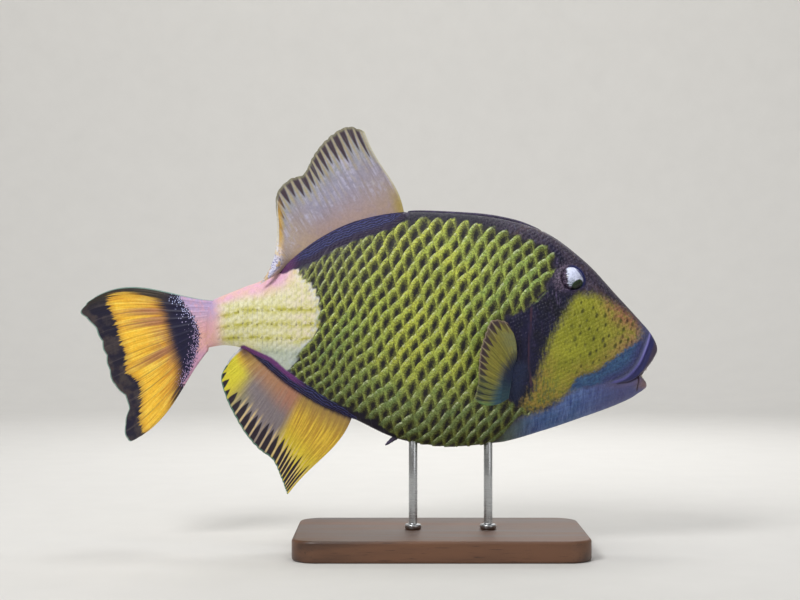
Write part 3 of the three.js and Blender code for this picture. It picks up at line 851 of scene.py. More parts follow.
# Sheaths of tiny long scales that the soft fins grow from
sheathCoat = {"length": 7.0, "width": 2.4, "rows": {"dorsal": 8, "anal": 5}, "rise": 0.4}


def sheathPlates(line, side, material):
    # rows beside the fin's base line: a scale's place is its share of the line and its distance from it
    base = np.asarray(sheathLines[line], float)
    length = np.linalg.norm(np.diff(smoothLine(base), axis=0), axis=1).sum()
    columns = int(length / (sheathCoat["length"] * 0.8))
    rows = sheathCoat["rows"][line]
    k, row = pairs(np.arange(columns), np.arange(rows))
    share = (k + 0.5 * (row % 2) + 0.25) / columns
    steps = np.array([-0.5, -0.4, 0.0, 0.4, 0.5])
    p, q = steps[None, :, None], steps[None, None, :]
    along = np.clip(share[:, None, None] + p * sheathCoat["length"] / length + 0 * q, 0, 1)
    taper = np.interp(share, *sheathWidths[line]) / (sheathCoat["width"] * (rows + 0.5))
    away = ((row + 0.7)[:, None, None] + q * 1.15 + 0 * p) * sheathCoat["width"] * taper[:, None, None]
    place, ahead, behind = (evenPoints(base, np.clip(along + step, 0, 1).ravel()).reshape(along.shape + (2,))
                            for step in (0, 0.01, -0.01))
    way = unit(ahead - behind)
    inward = 1 if line == "dorsal" else -1
    x = place[..., 0] - inward * way[..., 1] * away
    z = place[..., 1] + inward * way[..., 0] * away
    s, angle = fromSide(x, z)
    keep = np.abs(bodyPoint(s, angle)[..., 2] - z).max(axis=(1, 2)) < 1.0
    inner = (np.abs(p) < 0.45) & (np.abs(q) < 0.45)
    dome = (1 - 1.6 * q ** 2) * (0.75 - 0.7 * p)
    lift = np.where(inner, sheathCoat["rise"] * dome, -0.25) + np.zeros((len(share), 1, 1))
    s, angle, lift = s[keep], angle[keep], lift[keep]
    cell = cellPlaces(p + 0.5, q + 0.5, len(s))
    name = line + "_sheath_" + sideNames[side]
    return makeCoat(name, s, angle, lift, cell, plateRoots(s, angle), side, material)


# Fins: curved sheets between a root line on the body and a free tip line, ribbed by their rays

fins = {
    "dorsal": {
        "root": [(-37, 348), (-67.6, 342), (-98.8, 334), (-124.8, 321), (-145.6, 305), (-163.3, 291)],
        "tip": [(-79, 436), (-94.6, 440.7), (-113.4, 431.9), (-131, 412), (-142.5, 390.8), (-155, 386.6),
                (-169.5, 371), (-169.5, 338.8), (-170.6, 312.8), (-176.8, 291), (-187.2, 275.4)],
        "first": (2.4, 0), "last": (0, 0), "late": 0, "wave": 2.8,
        "spread": [(0, 0.3, 0.55, 0.8, 0.92, 1), (0, 0.23, 0.4, 0.6, 0.78, 1)],
        "rays": 20, "perRay": 14, "outward": 56, "rootThickness": 4.0, "scallop": 0.009, "rayHeight": 0.3,
        "lie": lambda u, v, x: (swing(x) + 4 * v * np.sin(7 * u)
                                - 19 * smoothStep(u, 0.72, 1) * np.minimum(1.6 * v, 1)),
    },
    "anal": {
        "root": [(-90, 142), (-124.8, 157), (-156, 175), (-182, 196), (-203.5, 213)],
        "tip": [(-159.1, 57), (-165.4, 73.6), (-174.7, 93.4), (-189.3, 104.8), (-203.8, 122.5),
                (-215.3, 142.2), (-223.6, 159.9), (-227.8, 179.7), (-219.6, 196.1)],
        "first": (2.8, -3.2), "last": (-2, 0), "late": 0, "wave": 3.4,
        "spread": [(0, 0.15, 0.35, 0.6, 1), (0, 0.06, 0.19, 0.47, 1)],
        "rays": 23, "perRay": 12, "outward": 56, "rootThickness": 4.0, "scallop": 0.007, "rayHeight": 0.42,
        "lie": lambda u, v, x: swing(x) + 4 * v * np.sin(6.5 * u + 0.6) - 9 * smoothStep(u, 0.7, 1) * v,
    },
    "caudal": {
        "root": [(-234, 259.5), (-239.5, 232), (-243, 206.5)],
        "tip": [(-366.5, 262.5), (-378.5, 254.5), (-383, 246.5), (-367.8, 232), (-358.5, 210.9),
                (-352.2, 188), (-347.5, 171.5), (-337.5, 160), (-331, 149.6), (-334.5, 126.7), (-333, 112),
                (-329, 109.5), (-320, 115.5)],
        "first": (0, 20.5), "last": (10, -9), "late": 1, "wave": 0, "spread": [(0, 1), (0, 1)],
        "rays": 12, "perRay": 24, "outward": 72, "rootThickness": 6.0, "scallop": 0.012, "rayHeight": 0.7,
        "lie": lambda u, v, x: swing(x) + 16 * v * v * (u - 0.3) + 1.6 * v * np.sin(12 * u),
    },
    "pectoral": {
        "root": [(75.3, 198.9), (71.1, 179.8), (67.3, 160)],
        "tip": [(66.3, 237.7), (57.7, 240.4), (50.2, 239.4), (45.9, 232), (42.6, 222.6), (39.8, 213),
                (37.9, 202.6), (37.2, 191.3), (36.9, 179.8), (34.9, 168.5), (33.9, 160.9), (37.9, 156.2)],
        "first": (4.2, 0.8), "last": (0, -4.3), "late": 0, "wave": 0, "spread": [(0, 1), (0, 1)],
        "rays": 15, "perRay": 14, "outward": 44, "rootThickness": 3.6, "scallop": 0.02, "rayHeight": 0.42,
        "lie": lambda u, v, x: -40 + np.minimum(4 * v, 1) * (-7 - 15 * v + 5 * v * (2 * u - 1) ** 2),
    },
}
finMargin = 0.45       # mm, half thickness of the membrane at the margin


def finSheet(fin, u, v):
    # straight ray from the root line to the tip line, bowed by 4 v (1 - v), as X, Z, and its sideways lie
    spread = np.interp(u, *fin["spread"])
    root, tip = evenPoints(fin["root"], u.ravel()), evenPoints(fin["tip"], spread.ravel())
    root, tip = root.reshape(u.shape + (2,)), tip.reshape(u.shape + (2,))
    first, last = np.maximum(1 - 2 * u, 0)[..., None], np.maximum(2 * u - 1, 0)[..., None]
    bow = (4 * v ** (1 + fin["late"]) * (1 - v))[..., None]
    place = root + (tip - root) * v[..., None] + bow * (first * fin["first"] + last * fin["last"])
    place[..., 0] += fin["wave"] * np.sin(2 * math.pi * v) * first[..., 0] ** 2
    shareThere = u + (spread - u) * v
    return np.stack([place[..., 0], fin["lie"](shareThere, v, place[..., 0]), place[..., 1]], -1)


def rayHeight(fin, t, v):
    # one rib to each ray near the root, which forks into two and then into three ribs further out
    f = t - np.floor(t) - 0.5
    one = bump1d(f, 0, 0.17)
    two = bump1d(f, -0.16, 0.1) + bump1d(f, 0.16, 0.1)
    three = 0.9 * sum(bump1d(f, at, 0.08) for at in (-0.29, -0.1, 0.1, 0.29))
    fork = smoothStep(v, 0.34, 0.5)
    again = smoothStep(v, 0.68, 0.8)
    rib = one * (1 - fork) + fork * (two * (1 - again) + three * again)
    return fin["rayHeight"] * rib * (1.05 - 0.5 * v) * (0.3 + 0.7 * smoothStep(v, 0.04, 0.3))


def makeFin(kind, side, material, nodes, name):
    # both faces of the sheet, joined round the margin, in one closed shell
    fin = fins[kind]
    across = fin["rays"] * fin["perRay"] + 1
    u, v = np.meshgrid(np.linspace(0, 1, across), np.linspace(0, 1, fin["outward"]) ** 0.94, indexing="ij")
    t = u * fin["rays"]
    f = np.abs(t - np.floor(t) - 0.5) * 2
    reach = v * (1 - fin["scallop"] * f ** 1.5 * (1 + 0.5 * np.sin(t * 1.7)))
    sheet = finSheet(fin, u, reach)
    n = unit(np.cross(np.gradient(sheet, axis=1), np.gradient(sheet, axis=0)))
    half = finMargin + (fin["rootThickness"] / 2 - finMargin) * (1 - np.sqrt(v))
    edge = np.minimum(1, np.minimum(1 - v, np.minimum(u, 1 - u) * 12) * 30 + 0.4)
    rib = rayHeight(fin, t, v) * np.minimum(1, (1 - v) * 12)
    thick = ((half * edge) + rib)[..., None]
    shell = np.concatenate([sheet + n * thick, (sheet - n * thick)[:, ::-1]], 1)
    full = 2 * fin["outward"]
    length = np.linalg.norm(np.diff(sheet, axis=1), axis=-1).sum(1)[:, None]
    margin = (1 - v) * length
    wide = np.concatenate([[0], np.cumsum(np.linalg.norm(np.diff(sheet[:, -12], axis=0), axis=-1))])
    fields = {
        "finPlace": np.stack([t, v, margin], -1),
        "finAcross": np.stack([u, np.broadcast_to(wide[:, None], u.shape), v * length], -1),
    }
    if kind == "caudal":
        x, z = sheet[..., 0], sheet[..., 2]
        orange, root = (insideField(x, z, tailBands[key]) for key in ("orange", "root"))
        fields["tailBands"] = np.stack([orange, root, v], -1)
    for key, values in fields.items():
        fields[key] = np.concatenate([values, values[:, ::-1]], 1).reshape(-1, 3)
    quads = gridQuads(across, full, True)
    pair = np.arange(fin["outward"] - 1)
    start = np.stack([pair, pair + 1, full - 2 - pair, full - 1 - pair], -1)
    end = start[:, ::-1] + (across - 1) * full
    faces = np.vstack([quads, start, end])
    if side > 0 and kind == "pectoral":
        shell = shell * np.array([1, -1, 1])
    faces = outward(shell.reshape(-1, 3), faces)
    return makePiece(name, shell, [faces], material, fields, nodes=nodes)


# Outlines in X, Z of the tail fin's orange area and of the pale root beside the dark bands
tailBands = {
    "orange": [(-353, 262), (-346, 243), (-338, 219), (-331, 198), (-333, 187), (-326, 179), (-317, 170),
               (-316, 150), (-316, 128), (-306, 112), (-284, 138), (-278.5, 160), (-274, 177),
               (-273.5, 186), (-275.5, 196), (-281, 213), (-286, 233), (-291, 249), (-298, 259.5),
               (-310, 265), (-324, 267.6), (-340, 267.6)],
    "root": [(-280, 276), (-269, 260), (-261, 247), (-254, 238), (-251, 225), (-252, 210), (-256, 198),
             (-260, 188), (-268, 172), (-225, 185), (-225, 275)],
}


# Eyes: a ball with a low clear dome over the iris, which looks out, forward and a little down

eye = {"radius": 14.0, "inset": 0.15, "gazeX": 0.52, "gazeZ": -0.50, "iris": 0.50, "dome": 0.7, "rings": 72,
       "around": 96}


def makeEye(side, material):
    # a sphere whose pole is the gaze; inside the iris's angle it rises by dome times 1 - (angle / iris)^2
    node = "eye_" + sideNames[side]
    low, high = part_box(node)
    low, high = np.array(low) / mm, np.array(high) / mm
    centre = (low + high) / 2
    centre[1] = low[1] + eye["radius"] if side < 0 else high[1] - eye["radius"]
    gaze = np.array([eye["gazeX"], side * math.sqrt(1 - eye["gazeX"] ** 2 - eye["gazeZ"] ** 2), eye["gazeZ"]])
    sidewards = np.cross(gaze, [0, 0, 1.0])
    sidewards /= np.linalg.norm(sidewards)
    upwards = np.cross(sidewards, gaze)
    polar = (np.linspace(0, 1, eye["rings"]) ** 1.15 * math.pi)[1:-1, None]
    turn = turns(eye["around"])
    ball = eye["radius"] - eye["inset"] - eye["dome"]
    radius = ball + eye["dome"] * np.clip(1 - (polar / (eye["iris"] * 1.25)) ** 2, 0, 1)
    radius = radius + 0 * turn
    ring = (np.cos(polar) * np.ones_like(turn))[..., None] * gaze
    ring = ring + (np.sin(polar) * np.cos(turn))[..., None] * sidewards
    ring = ring + (np.sin(polar) * np.sin(turn))[..., None] * upwards
    points = np.vstack([(centre + radius[..., None] * ring).reshape(-1, 3),
                        centre + gaze * (eye["radius"] - eye["inset"]), centre - gaze * ball])
    angle = np.vstack([(polar + 0 * turn).reshape(-1, 1), [[0.0]], [[math.pi]]])[:, 0]
    way = (points - centre) / eye["radius"]
    fields = {"gaze": np.stack([angle, way[:, 0], way[:, 2]], -1)}
    faces = tubeFaces(points, len(polar), eye["around"])
    return makePiece("eyeball_" + sideNames[side], points, faces, material, fields, nodes=(node,))


# Teeth: a row of chisels on a gum

teethShape = {"count": 8, "spread": 1.15, "width": 3.6, "depth": 2.6, "long": 9.0, "reach": 10.0,
              "upper": (205.4, 191.5), "lower": (200.5, 179.0)}


def makeTeeth(jaw, material):
    # each tooth is an egg-shaped section that thins to a chisel edge, set on an arc of the jaw
    x0, z0 = teethShape[jaw]
    down = -1 if jaw == "upper" else 1
    rows, around = 12, 16
    h = np.linspace(0, 1, rows)[None, :, None]
    turn = turns(around)[None]
    angle = np.linspace(-teethShape["spread"], teethShape["spread"], teethShape["count"])[:, None, None]
    cos, sin = np.cos(turn), np.sin(turn)
    wide = teethShape["width"] / 2 * (1 - 0.12 * h ** 2) * np.where(h > 0.93, 0.75, 1)
    deep = teethShape["depth"] / 2 * (1 - 0.72 * h ** 1.5) * np.where(h > 0.93, 0.6, 1)
    local = np.sign(cos) * np.abs(cos) ** 0.8 * wide
    out = np.sign(sin) * np.abs(sin) ** 0.8 * deep + 0.5 * h - 0.3
    reach = teethShape["reach"] - 1.0 + out
    px = x0 + reach * np.cos(angle) - local * np.sin(angle)
    py = (reach * np.sin(angle) + local * np.cos(angle)) * 0.92
    pz = z0 - down * teethShape["long"] / 2 + down * h * teethShape["long"] + 0 * px
    grid = np.stack([px, py, pz], -1)
    count, each = teethShape["count"], rows * around + 2
    tips = grid[:, -1].mean(1) + np.array([0, 0, down * 0.25])
    points = np.concatenate([grid.reshape(count, -1, 3), grid[:, 0].mean(1)[:, None], tips[:, None]], 1)
    faces = [part + tooth * each for tooth in range(count) for part in tubeFaces(points[tooth], rows, around)]
    high = np.concatenate([np.repeat(h.ravel(), around), [0.0, 1.0]])
    fields = {"tooth": np.tile(high[:, None], (count, 3))}
    nodes = (jaw + "_teeth",)
    return makePiece(jaw + "_tooth_row", points, faces, material, fields, nodes=nodes)


# Folded spine of the first dorsal fin, in its groove, and the rough knob under the belly

spine = {"front": 106.0, "rear": -34.0, "steps": 150, "around": 24, "thick": 6.1, "taper": 4.3, "depth": 3.2}


def makeSpine(material):
    # an arched section carried along the back's line: width falls evenly, the crown stands proud in front
    share = np.linspace(0, 1, spine["steps"])[:, None]
    turn = turns(spine["around"])
    x = spine["front"] + (spine["rear"] - spine["front"]) * share
    backS = np.linspace(3, 12, 600)
    back = alongRows(bodySections, backS)
    top = np.interp(-x, -back[:, 0], back[:, 1])
    proud = 1.3 * smoothStep(share, 0, 0.2) - 0.6 * share
    end = np.sqrt(np.clip(1 - (2 * share - 1) ** 30, 0.0, 1))
    half = (spine["thick"] - spine["taper"] * share) / 2 * end
    knots = 1 + 0.05 * np.sin(x * 2.1) * np.cos(3 * turn)
    y = np.sin(turn) * half * knots
    height = (proud + spine["depth"]) / 2
    z = top + proud - height + np.cos(turn) * height * end * (0.82 + 0.18 * np.abs(np.cos(turn)))
    grid = np.stack(np.broadcast_arrays(x, y, z), -1)
    return closedTube("folded_spine", grid, material, ("dorsal_spines",))


pelvis = {"length": 18.0, "base": 3.4, "tip": 1.0, "lean": 0.9, "place": (-50.0, 0.0, 114.5), "steps": 40}


def makePelvicKnob(material):
    # a blunt cone that leans back, ringed by rows of small barbs
    h = np.linspace(0, 1, pelvis["steps"])[:, None]
    turn = turns(24)
    radius = pelvis["base"] + (pelvis["tip"] - pelvis["base"]) * h
    radius = radius * (1 + 0.14 * np.maximum(np.sin(h * 26), 0) * (0.6 + 0.4 * np.cos(6 * turn)))
    radius = radius * np.sqrt(np.clip(1.02 - h ** 12, 0.02, 1))
    along = (h - 0.5) * pelvis["length"]
    cos, sin = math.cos(pelvis["lean"]), math.sin(pelvis["lean"])
    x0, y0, z0 = pelvis["place"]
    flat = radius * np.cos(turn)
    x = x0 + flat * cos - along * sin
    z = z0 - flat * sin - along * cos
    y = y0 + radius * np.sin(turn)
    grid = np.stack(np.broadcast_arrays(x, y, z), -1)
    return closedTube("pelvic_knob", grid, material, ("pelvic_spine",))


# Stand: a walnut base with a rounded edge, and two steel rods with collars

stand = {"length": 300.0, "width": 180.0, "height": 22.0, "corner": 26.0, "bevel": 3.0, "rod": 4.5,
         "rods": {"stand_rod_rear": -28.0, "stand_rod_front": 50.0}, "collar": 8.5, "collarHeight": 5.0}


def makeBase(material):
    # a rounded rectangle whose edge turns over in a quarter circle, top and bottom
    bend = np.linspace(0, math.pi / 2, 9)
    r, top = stand["bevel"], stand["height"]
    inset = np.concatenate([[40.0], r - r * np.sin(bend), (r - r * np.sin(bend))[::-1], [40.0]])
    z = np.concatenate([[top], top - r + r * np.cos(bend), (r - r * np.cos(bend))[::-1], [0.0]])
    turn = np.linspace(0, 2 * math.pi, 160, endpoint=False)
    corner = stand["corner"]
    cx = np.sign(np.cos(turn)) * (stand["length"] / 2 - corner)
    cy = np.sign(np.sin(turn)) * (stand["width"] / 2 - corner)
    out = (corner - np.minimum(inset, corner - 0.5))[:, None]
    shrink = np.where(inset > r + 1, 0.0, 1.0)[:, None]
    x = cx * np.where(shrink > 0, 1, 0.6) + out * np.cos(turn)
    y = cy * np.where(shrink > 0, 1, 0.6) + out * np.sin(turn)
    grid = np.stack([x, y, np.broadcast_to(z[:, None], x.shape)], -1)
    return closedTube("stand_base_wood", grid, material, ("stand_base",))


def makeRod(node, material):
    # a lathe profile: a flat collar with a rounded lip, then the plain rod up into the belly
    low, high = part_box(node)
    foot, top = low[2] / mm, high[2] / mm
    rod, collar, tall = stand["rod"], stand["collar"], stand["collarHeight"]
    bend = np.linspace(0, math.pi / 2, 7)
    lip, fillet = 1.6, 1.2       # mm, rounding of the collar's upper edge and of the corner above it
    radius = np.concatenate([[collar - 1.0, collar], collar - lip + lip * np.cos(bend),
                             rod + fillet - fillet * np.sin(bend), [rod, rod, rod, rod - 0.6]])
    z = np.concatenate([[0, 0.6], tall - lip + lip * np.sin(bend), tall + fillet - fillet * np.cos(bend),
                        [tall + 6, (top - foot) / 2, top - foot - 0.8, top - foot]])
    turn = np.linspace(0, 2 * math.pi, 48, endpoint=False)
    x = stand["rods"][node] + radius[:, None] * np.cos(turn)
    y = radius[:, None] * np.sin(turn)
    grid = np.stack([x, y, np.broadcast_to((foot + z)[:, None], x.shape)], -1)
    return closedTube(node + "_steel", grid, material, (node,))


# Finishes: each works out the inputs of a Principled shader

def paintMarkings():
    # the fish's own colours, drawn from the stored distances so that skin and coat match
    flank, tail, cheek = stored("areaOne")
    blue, throat, bar = stored("areaTwo")
    lips, sheath, eyeAway = stored("areaThree")
    p, q, share = stored("spots")
    keelRow, anal, dorsal = stored("keels")
    i, j, dark = stored("scaleCell")
    gill, lobe, cleft = stored("slits")
    x, y, z = parts(put("ShaderNodeTexCoord", {}, "Object"))
    wobble = (grains(9, 4, 0.65) - 0.5) * 9
    cloud = grains(24, 3)
    mottle = grains(5, 5, 0.65)
    fine = grains(1.2, 3, 0.6)
    upright = grains(2.6, 3, 0.6, (1, 1, 0.22))

    def edge(field, soft=1.5, jitter=1.0):
        # 0 outside an area to 1 inside it over twice soft mm, along a wobbly edge
        return fade(field + wobble * jitter, -soft, soft)

    # crown and snout: dark plum with paler flecks, a rusty tone along the forehead
    colour = layered("#231c2e",
        (fade(mottle, 0.35, 0.7), "#3f3446"),
        (fade(grains(15, 3), 0.5, 0.7, 0, 0.5), "#54403f"),
        (fade(grains(2.2, 2, 0.7), 0.56, 0.72, 0, 0.4), "#7d7286"),
        (fade(x, 0.09, 0.03), "#1a1628"),
        (fade(x, 0.05, 0.08) * fade(upright, 0.5, 0.7) * 0.4, "#5f5c78"),
    )
    # between cheek and lip the snout turns slate violet
    slate = fade(lips, -24, -8) * fade(z, 0.255, 0.228) * 0.9
    colour = layered(colour, (slate, "#4a4e72"))
    # bar from the eye to the pectoral fin, lavender streaks behind and below the eye
    streaks = fade(grains(2.6, 3, 0.6, (1, 1, 0.3)), 0.52, 0.7)
    barColour = layered("#08071c",
        (fade(cloud, 0.35, 0.65), "#100f32"),
        (streaks * fade(eyeAway, 42, 16) * fade(x, 0.16, 0.13) * 0.6, "#76688e"),
        (fade(upright, 0.5, 0.7) * 0.2, "#4b3f66"),
        (fade(lobe, 16, 3) * fade(z, 0.212, 0.19) * 0.8, "#1b2747"),
    )
    colour = layered(colour, (edge(bar, 3, 0.7), barColour))
    mottled = layered("#241d30", (fade(grains(2.0, 3, 0.7), 0.42, 0.62), "#6a5a70"))
    # painted shadow of the eye socket's rim: a dark navy crescent on the skin in front of and above the eye
    ring = fade(eyeAway, 17.0, 13.5) * fade(x, 0.128, 0.136) * fade(z, 0.268, 0.278) * 0.9
    colour = layered(colour,
        (fade(eyeAway, 24, 13) * fade(x, 0.137, 0.126) * fade(z, 0.262, 0.275), mottled),
        (ring, "#161f58"),
    )
    # throat and lower jaw: lavender blue in near-upright streaks, mauve on the jaw, green behind
    streak = grains(2.8, 3, 0.6, (1, 0.12, 0.14))
    throatColour = layered("#364983",
        (fade(streak, 0.24, 0.78), "#6780b6"),
        (fade(cloud, 0.45, 0.65, 0, 0.4), "#3f6390"),
        (fade(x, 0.13, 0.19, 0, 0.85), "#4f4d7c"),
        (fade(x, 0.195, 0.212) * fade(z, 0.165, 0.172), "#80686c"),
        (fade(x, 0.105, 0.06, 0, 0.8), "#66744c"),
        (fade(throat, 9, 0) * fade(x, 0.15, 0.19) * 0.5, "#6a5870"),
    )
    colour = layered(colour, (edge(throat, 5.5, 0.8), throatColour))
    # cheek: olive yellow, tan to rust towards the snout, orange low behind, with dark spots
    towardsTip = fade(x, 0.15, 0.196) * fade(cheek, 26, 2, 0.25, 1.0)
    low = fade(cheek, 22, 1) * fade(z, 0.225, 0.185)
    behind = fade(z, 0.205, 0.165) * fade(x, 0.14, 0.1)
    spotted = fade(x, 0.118, 0.15, 0.25, 1.0) * fade(cheek, 1, 6) * fade(z, 0.165, 0.19)
    more = spotMask(p + 0.5, q + 0.5) * fade(x, 0.165, 0.19) * 0.8
    cheekColour = layered("#7e7f1e",
        (fade(cloud, 0.3, 0.7), "#96962a"),
        (towardsTip * fade(mottle, 0.35, 0.6, 0.45, 0.95), "#9a7450"),
        (towardsTip * fade(z, 0.228, 0.243) * fade(mottle, 0.4, 0.6, 0.2, 0.75), "#9f604e"),
        (low * fade(mottle, 0.36, 0.6, 0.25, 1.0) * 0.5, "#93743e"),
        (behind * fade(upright, 0.45, 0.6) * 0.7, "#93713c"),
        (behind * fade(upright, 0.53, 0.4) * 0.9, "#60643a"),
        (fade(upright, 0.5, 0.72, 0, 0.35), "#aba548"),
        (fade(mottle, 0.5, 0.34, 0, 0.4), "#6c7022"),
        (spotMask(p, q) * spotted * 0.85, "#35360f"),
        (more, "#3c2a1c"),
    )
    fringe = (upright - 0.5) * fade(x, 0.14, 0.11) * 18
    jagged = (grains(2.6, 2, 0.6) - 0.5) * 9
    colour = layered(colour, (edge(cheek + fringe + jagged, 7.0, 0.9), cheekColour))
    # blue patch above the mouth
    blueColour = layered("#26406c",
        (fade(mottle, 0.3, 0.7), "#3f6186"),
        (fade(lips, -15, -4), "#383c6c"),
    )
    colour = layered(colour, (edge(blue + jagged, 2.0, 0.9), blueColour))
    # upper lip: thin pale fold line, blue band, brown band, pale rim
    middle = fade(abs(y), 0.007, 0.003)
    upper = fade(z, 0.186, 0.212, 0.35, 1.0)
    lipColour = layered("#2b2c5e",
        (fade(lips, 6.5, 9.5), "#463c50"),
        (fade(lips, 10.8, 12.8) * middle * 0.8, "#94929a"),
        (fade(lips, 3.6, 1.6) * upper * 0.9, "#3b3794"),
        (fade(lips, 1.7, 0.8) * upper * 0.9, "#7d7ab8"),
    )
    colour = layered(colour, (fade(lips, -1.4, 0.3) * fade(throat, 1, -1.5), lipColour))
    # furrows: painted shade in the mouth's cleft and the crease behind the lower lip, a purple-brown line
    # along the gill slit partly painted shade
    crease = fade(stored("crease")[0], 1.3, 0.3) * fade(throat, -3, 0) * 0.85
    onGill = fade(gill, 1.9, 0.8) * fade(grains(6, 3), 0.3, 0.55, 0.45, 1.0)
    colour = layered(colour,
        (fade(cleft, 1.3, 0.4, 0, 0.7), "#251830"),
        (crease, "#2c1522"),
        (onGill * 0.7, "#4a2e3c"),
    )
    # tail root: cream, olive along its keel rows, pink along the top (part painted highlight), peach at the
    # tail, pearl in front
    fromRow = abs(calc("FRACT", keelRow + 0.5) - 0.5)
    inRows = fade(keelRow, -2.6, -2.1) * fade(keelRow, 1.7, 1.3)
    patchy = grains(5.5, 3, 0.6, (0.6, 1, 1))
    columns = calc("SINE", x * (2 * math.pi / 0.0051) + mottle * 3)
    dash = fade(grains(3.4, 2, 0.6, (0.7, 1, 1)), 0.42, 0.56) * fade(columns, -0.3, 0.5)
    bent = abs(fromRow - fade(columns, -1, 1) * 0.05)
    pearl = fade(tail, 9, 2) * fade(x, -0.185, -0.165) * fade(mottle, 0.4, 0.6)
    cream = layered("#cdc88a",
        (fade(mottle, 0.3, 0.7), "#e3dfbe"),
        (fade(x, -0.175, -0.135) * fade(mottle, 0.35, 0.65) * 0.7, "#dfcdbb"),
        (fade(fromRow, 0.46, 0.06) * inRows * fade(patchy, 0.34, 0.58) * 0.8, "#c2bd58"),
        (fade(fromRow, 0.17, 0.02) * inRows * fade(patchy, 0.42, 0.6) * 0.8, "#a8a236"),
        (fade(bent, 0.1, 0.01) * inRows * dash * fade(mottle, 0.42, 0.58) * 0.75, "#686030"),
        (fade(columns, 0.3, 1.0) * fade(upright, 0.42, 0.62) * 0.4, "#aaa693"),
        (pearl * 0.7, "#c3cbd6"),
        (fade(z, 0.222, 0.203) * fade(x, -0.2, -0.18) * 0.75, "#afbdb9"),
    )
    # the pink along the top is partly the skin's colour and partly painted highlight on the upper edge, where
    # it catches the light
    pinkAndHighlightTop = fade(share, 0.3, 0.13) * fade(x, -0.14, -0.165)
    pink = calc("MAXIMUM", pinkAndHighlightTop, fade(x, -0.218, -0.242))
    pinkColour = layered("#dfa6ca", (fade(cloud, 0.4, 0.6), "#e0b0b0"))
    cream = layered(cream,
        (pink * 0.85, pinkColour),
        (fade(x, -0.226, -0.24), tailPink(z)),
    )
    toothed = calc("COSINE", (j - 0.15) * (2 * math.pi)) * 1.3
    colour = layered(colour, (edge(tail - toothed, 1.8, 1.2), cream))
    # flank: green ridges round dark hollows
    green = scaleColour(i, j, dark, cloud, mottle, x, z)
    colour = layered(colour, (edge(flank + toothed, 1.8, 0.9), green))
    # sheaths of the soft fins: navy with fine bluish rows, plum at their lower edge, magenta at the rear
    rowLines = calc("SINE", sheath * (2 * math.pi / sheathCoat["width"]) + grains(8, 2) * 13)
    rear = fade(anal, 6.5, 3.5) * fade(anal, -2, 0) * fade(x, -0.135, -0.155)
    sheathColour = layered("#16143a",
        (fade(rowLines, 0.1, 1.0, 0, 0.8), "#454a84"),
        (fade(dorsal, 9, 4) * fade(dorsal, -1, 0.5) * 0.9, "#261a34"),
        (rear * 0.9, "#703878"),
    )
    rear = fade(dorsal, -2, 2) * fade(x, -0.143, -0.158)
    sheathColour = layered(sheathColour, (rear * 0.8, "#5c2f5e"))
    colour = layered(colour, (fade(sheath + wobble * 0.2, -1.2, 1.2), sheathColour))
    return shaded(colour, fine, 0.84, 1.14), mottle


def tailPink(z):
    # where the tail root meets its fin: lavender above, peach in the middle, mauve below
    return layered("#d3a298",
        (fade(z, 0.225, 0.255), "#b9a2c8"),
        (fade(z, 0.215, 0.2, 0, 0.9), "#bb8fae"),
        (fade(grains(6, 3), 0.45, 0.65, 0, 0.5), "#d9a3b4"),
    )


def spotMask(p, q):
    # a leaning ellipse near the middle of each cell of the spot lattice, its place and size by chance
    (ax, az), (dx, dz) = cheekSpots["along"], cheekSpots["down"]
    cell = put("ShaderNodeCombineXYZ", {0: calc("FLOOR", p), 1: calc("FLOOR", q)})
    chance = parts(put("ShaderNodeTexWhiteNoise", {"noise_dimensions": "3D", 0: cell}, "Color"))
    fp = calc("FRACT", p) - (chance[0] * 0.5 + 0.25)
    fq = calc("FRACT", q) - (chance[1] * 0.5 + 0.25)
    across = fp * ax + fq * dx
    up = fp * az + fq * dz
    cos, sin = math.cos(cheekSpots["lean"]), math.sin(cheekSpots["lean"])
    halfLong, halfWide = cheekSpots["size"]
    lengthwise = across * (cos / halfLong) + up * (sin / halfLong)
    sideways = across * (sin / halfWide) - up * (cos / halfWide)
    away = calc("SQRT", abs(lengthwise) ** 2.0 + abs(sideways) ** 2.0)
    size = chance[2] * 0.8 + 0.25
    fuzzy = (grains(1.6, 3, 0.7) - 0.5) * 1.4
    return fade(away - size + fuzzy, 0.95, -0.5)


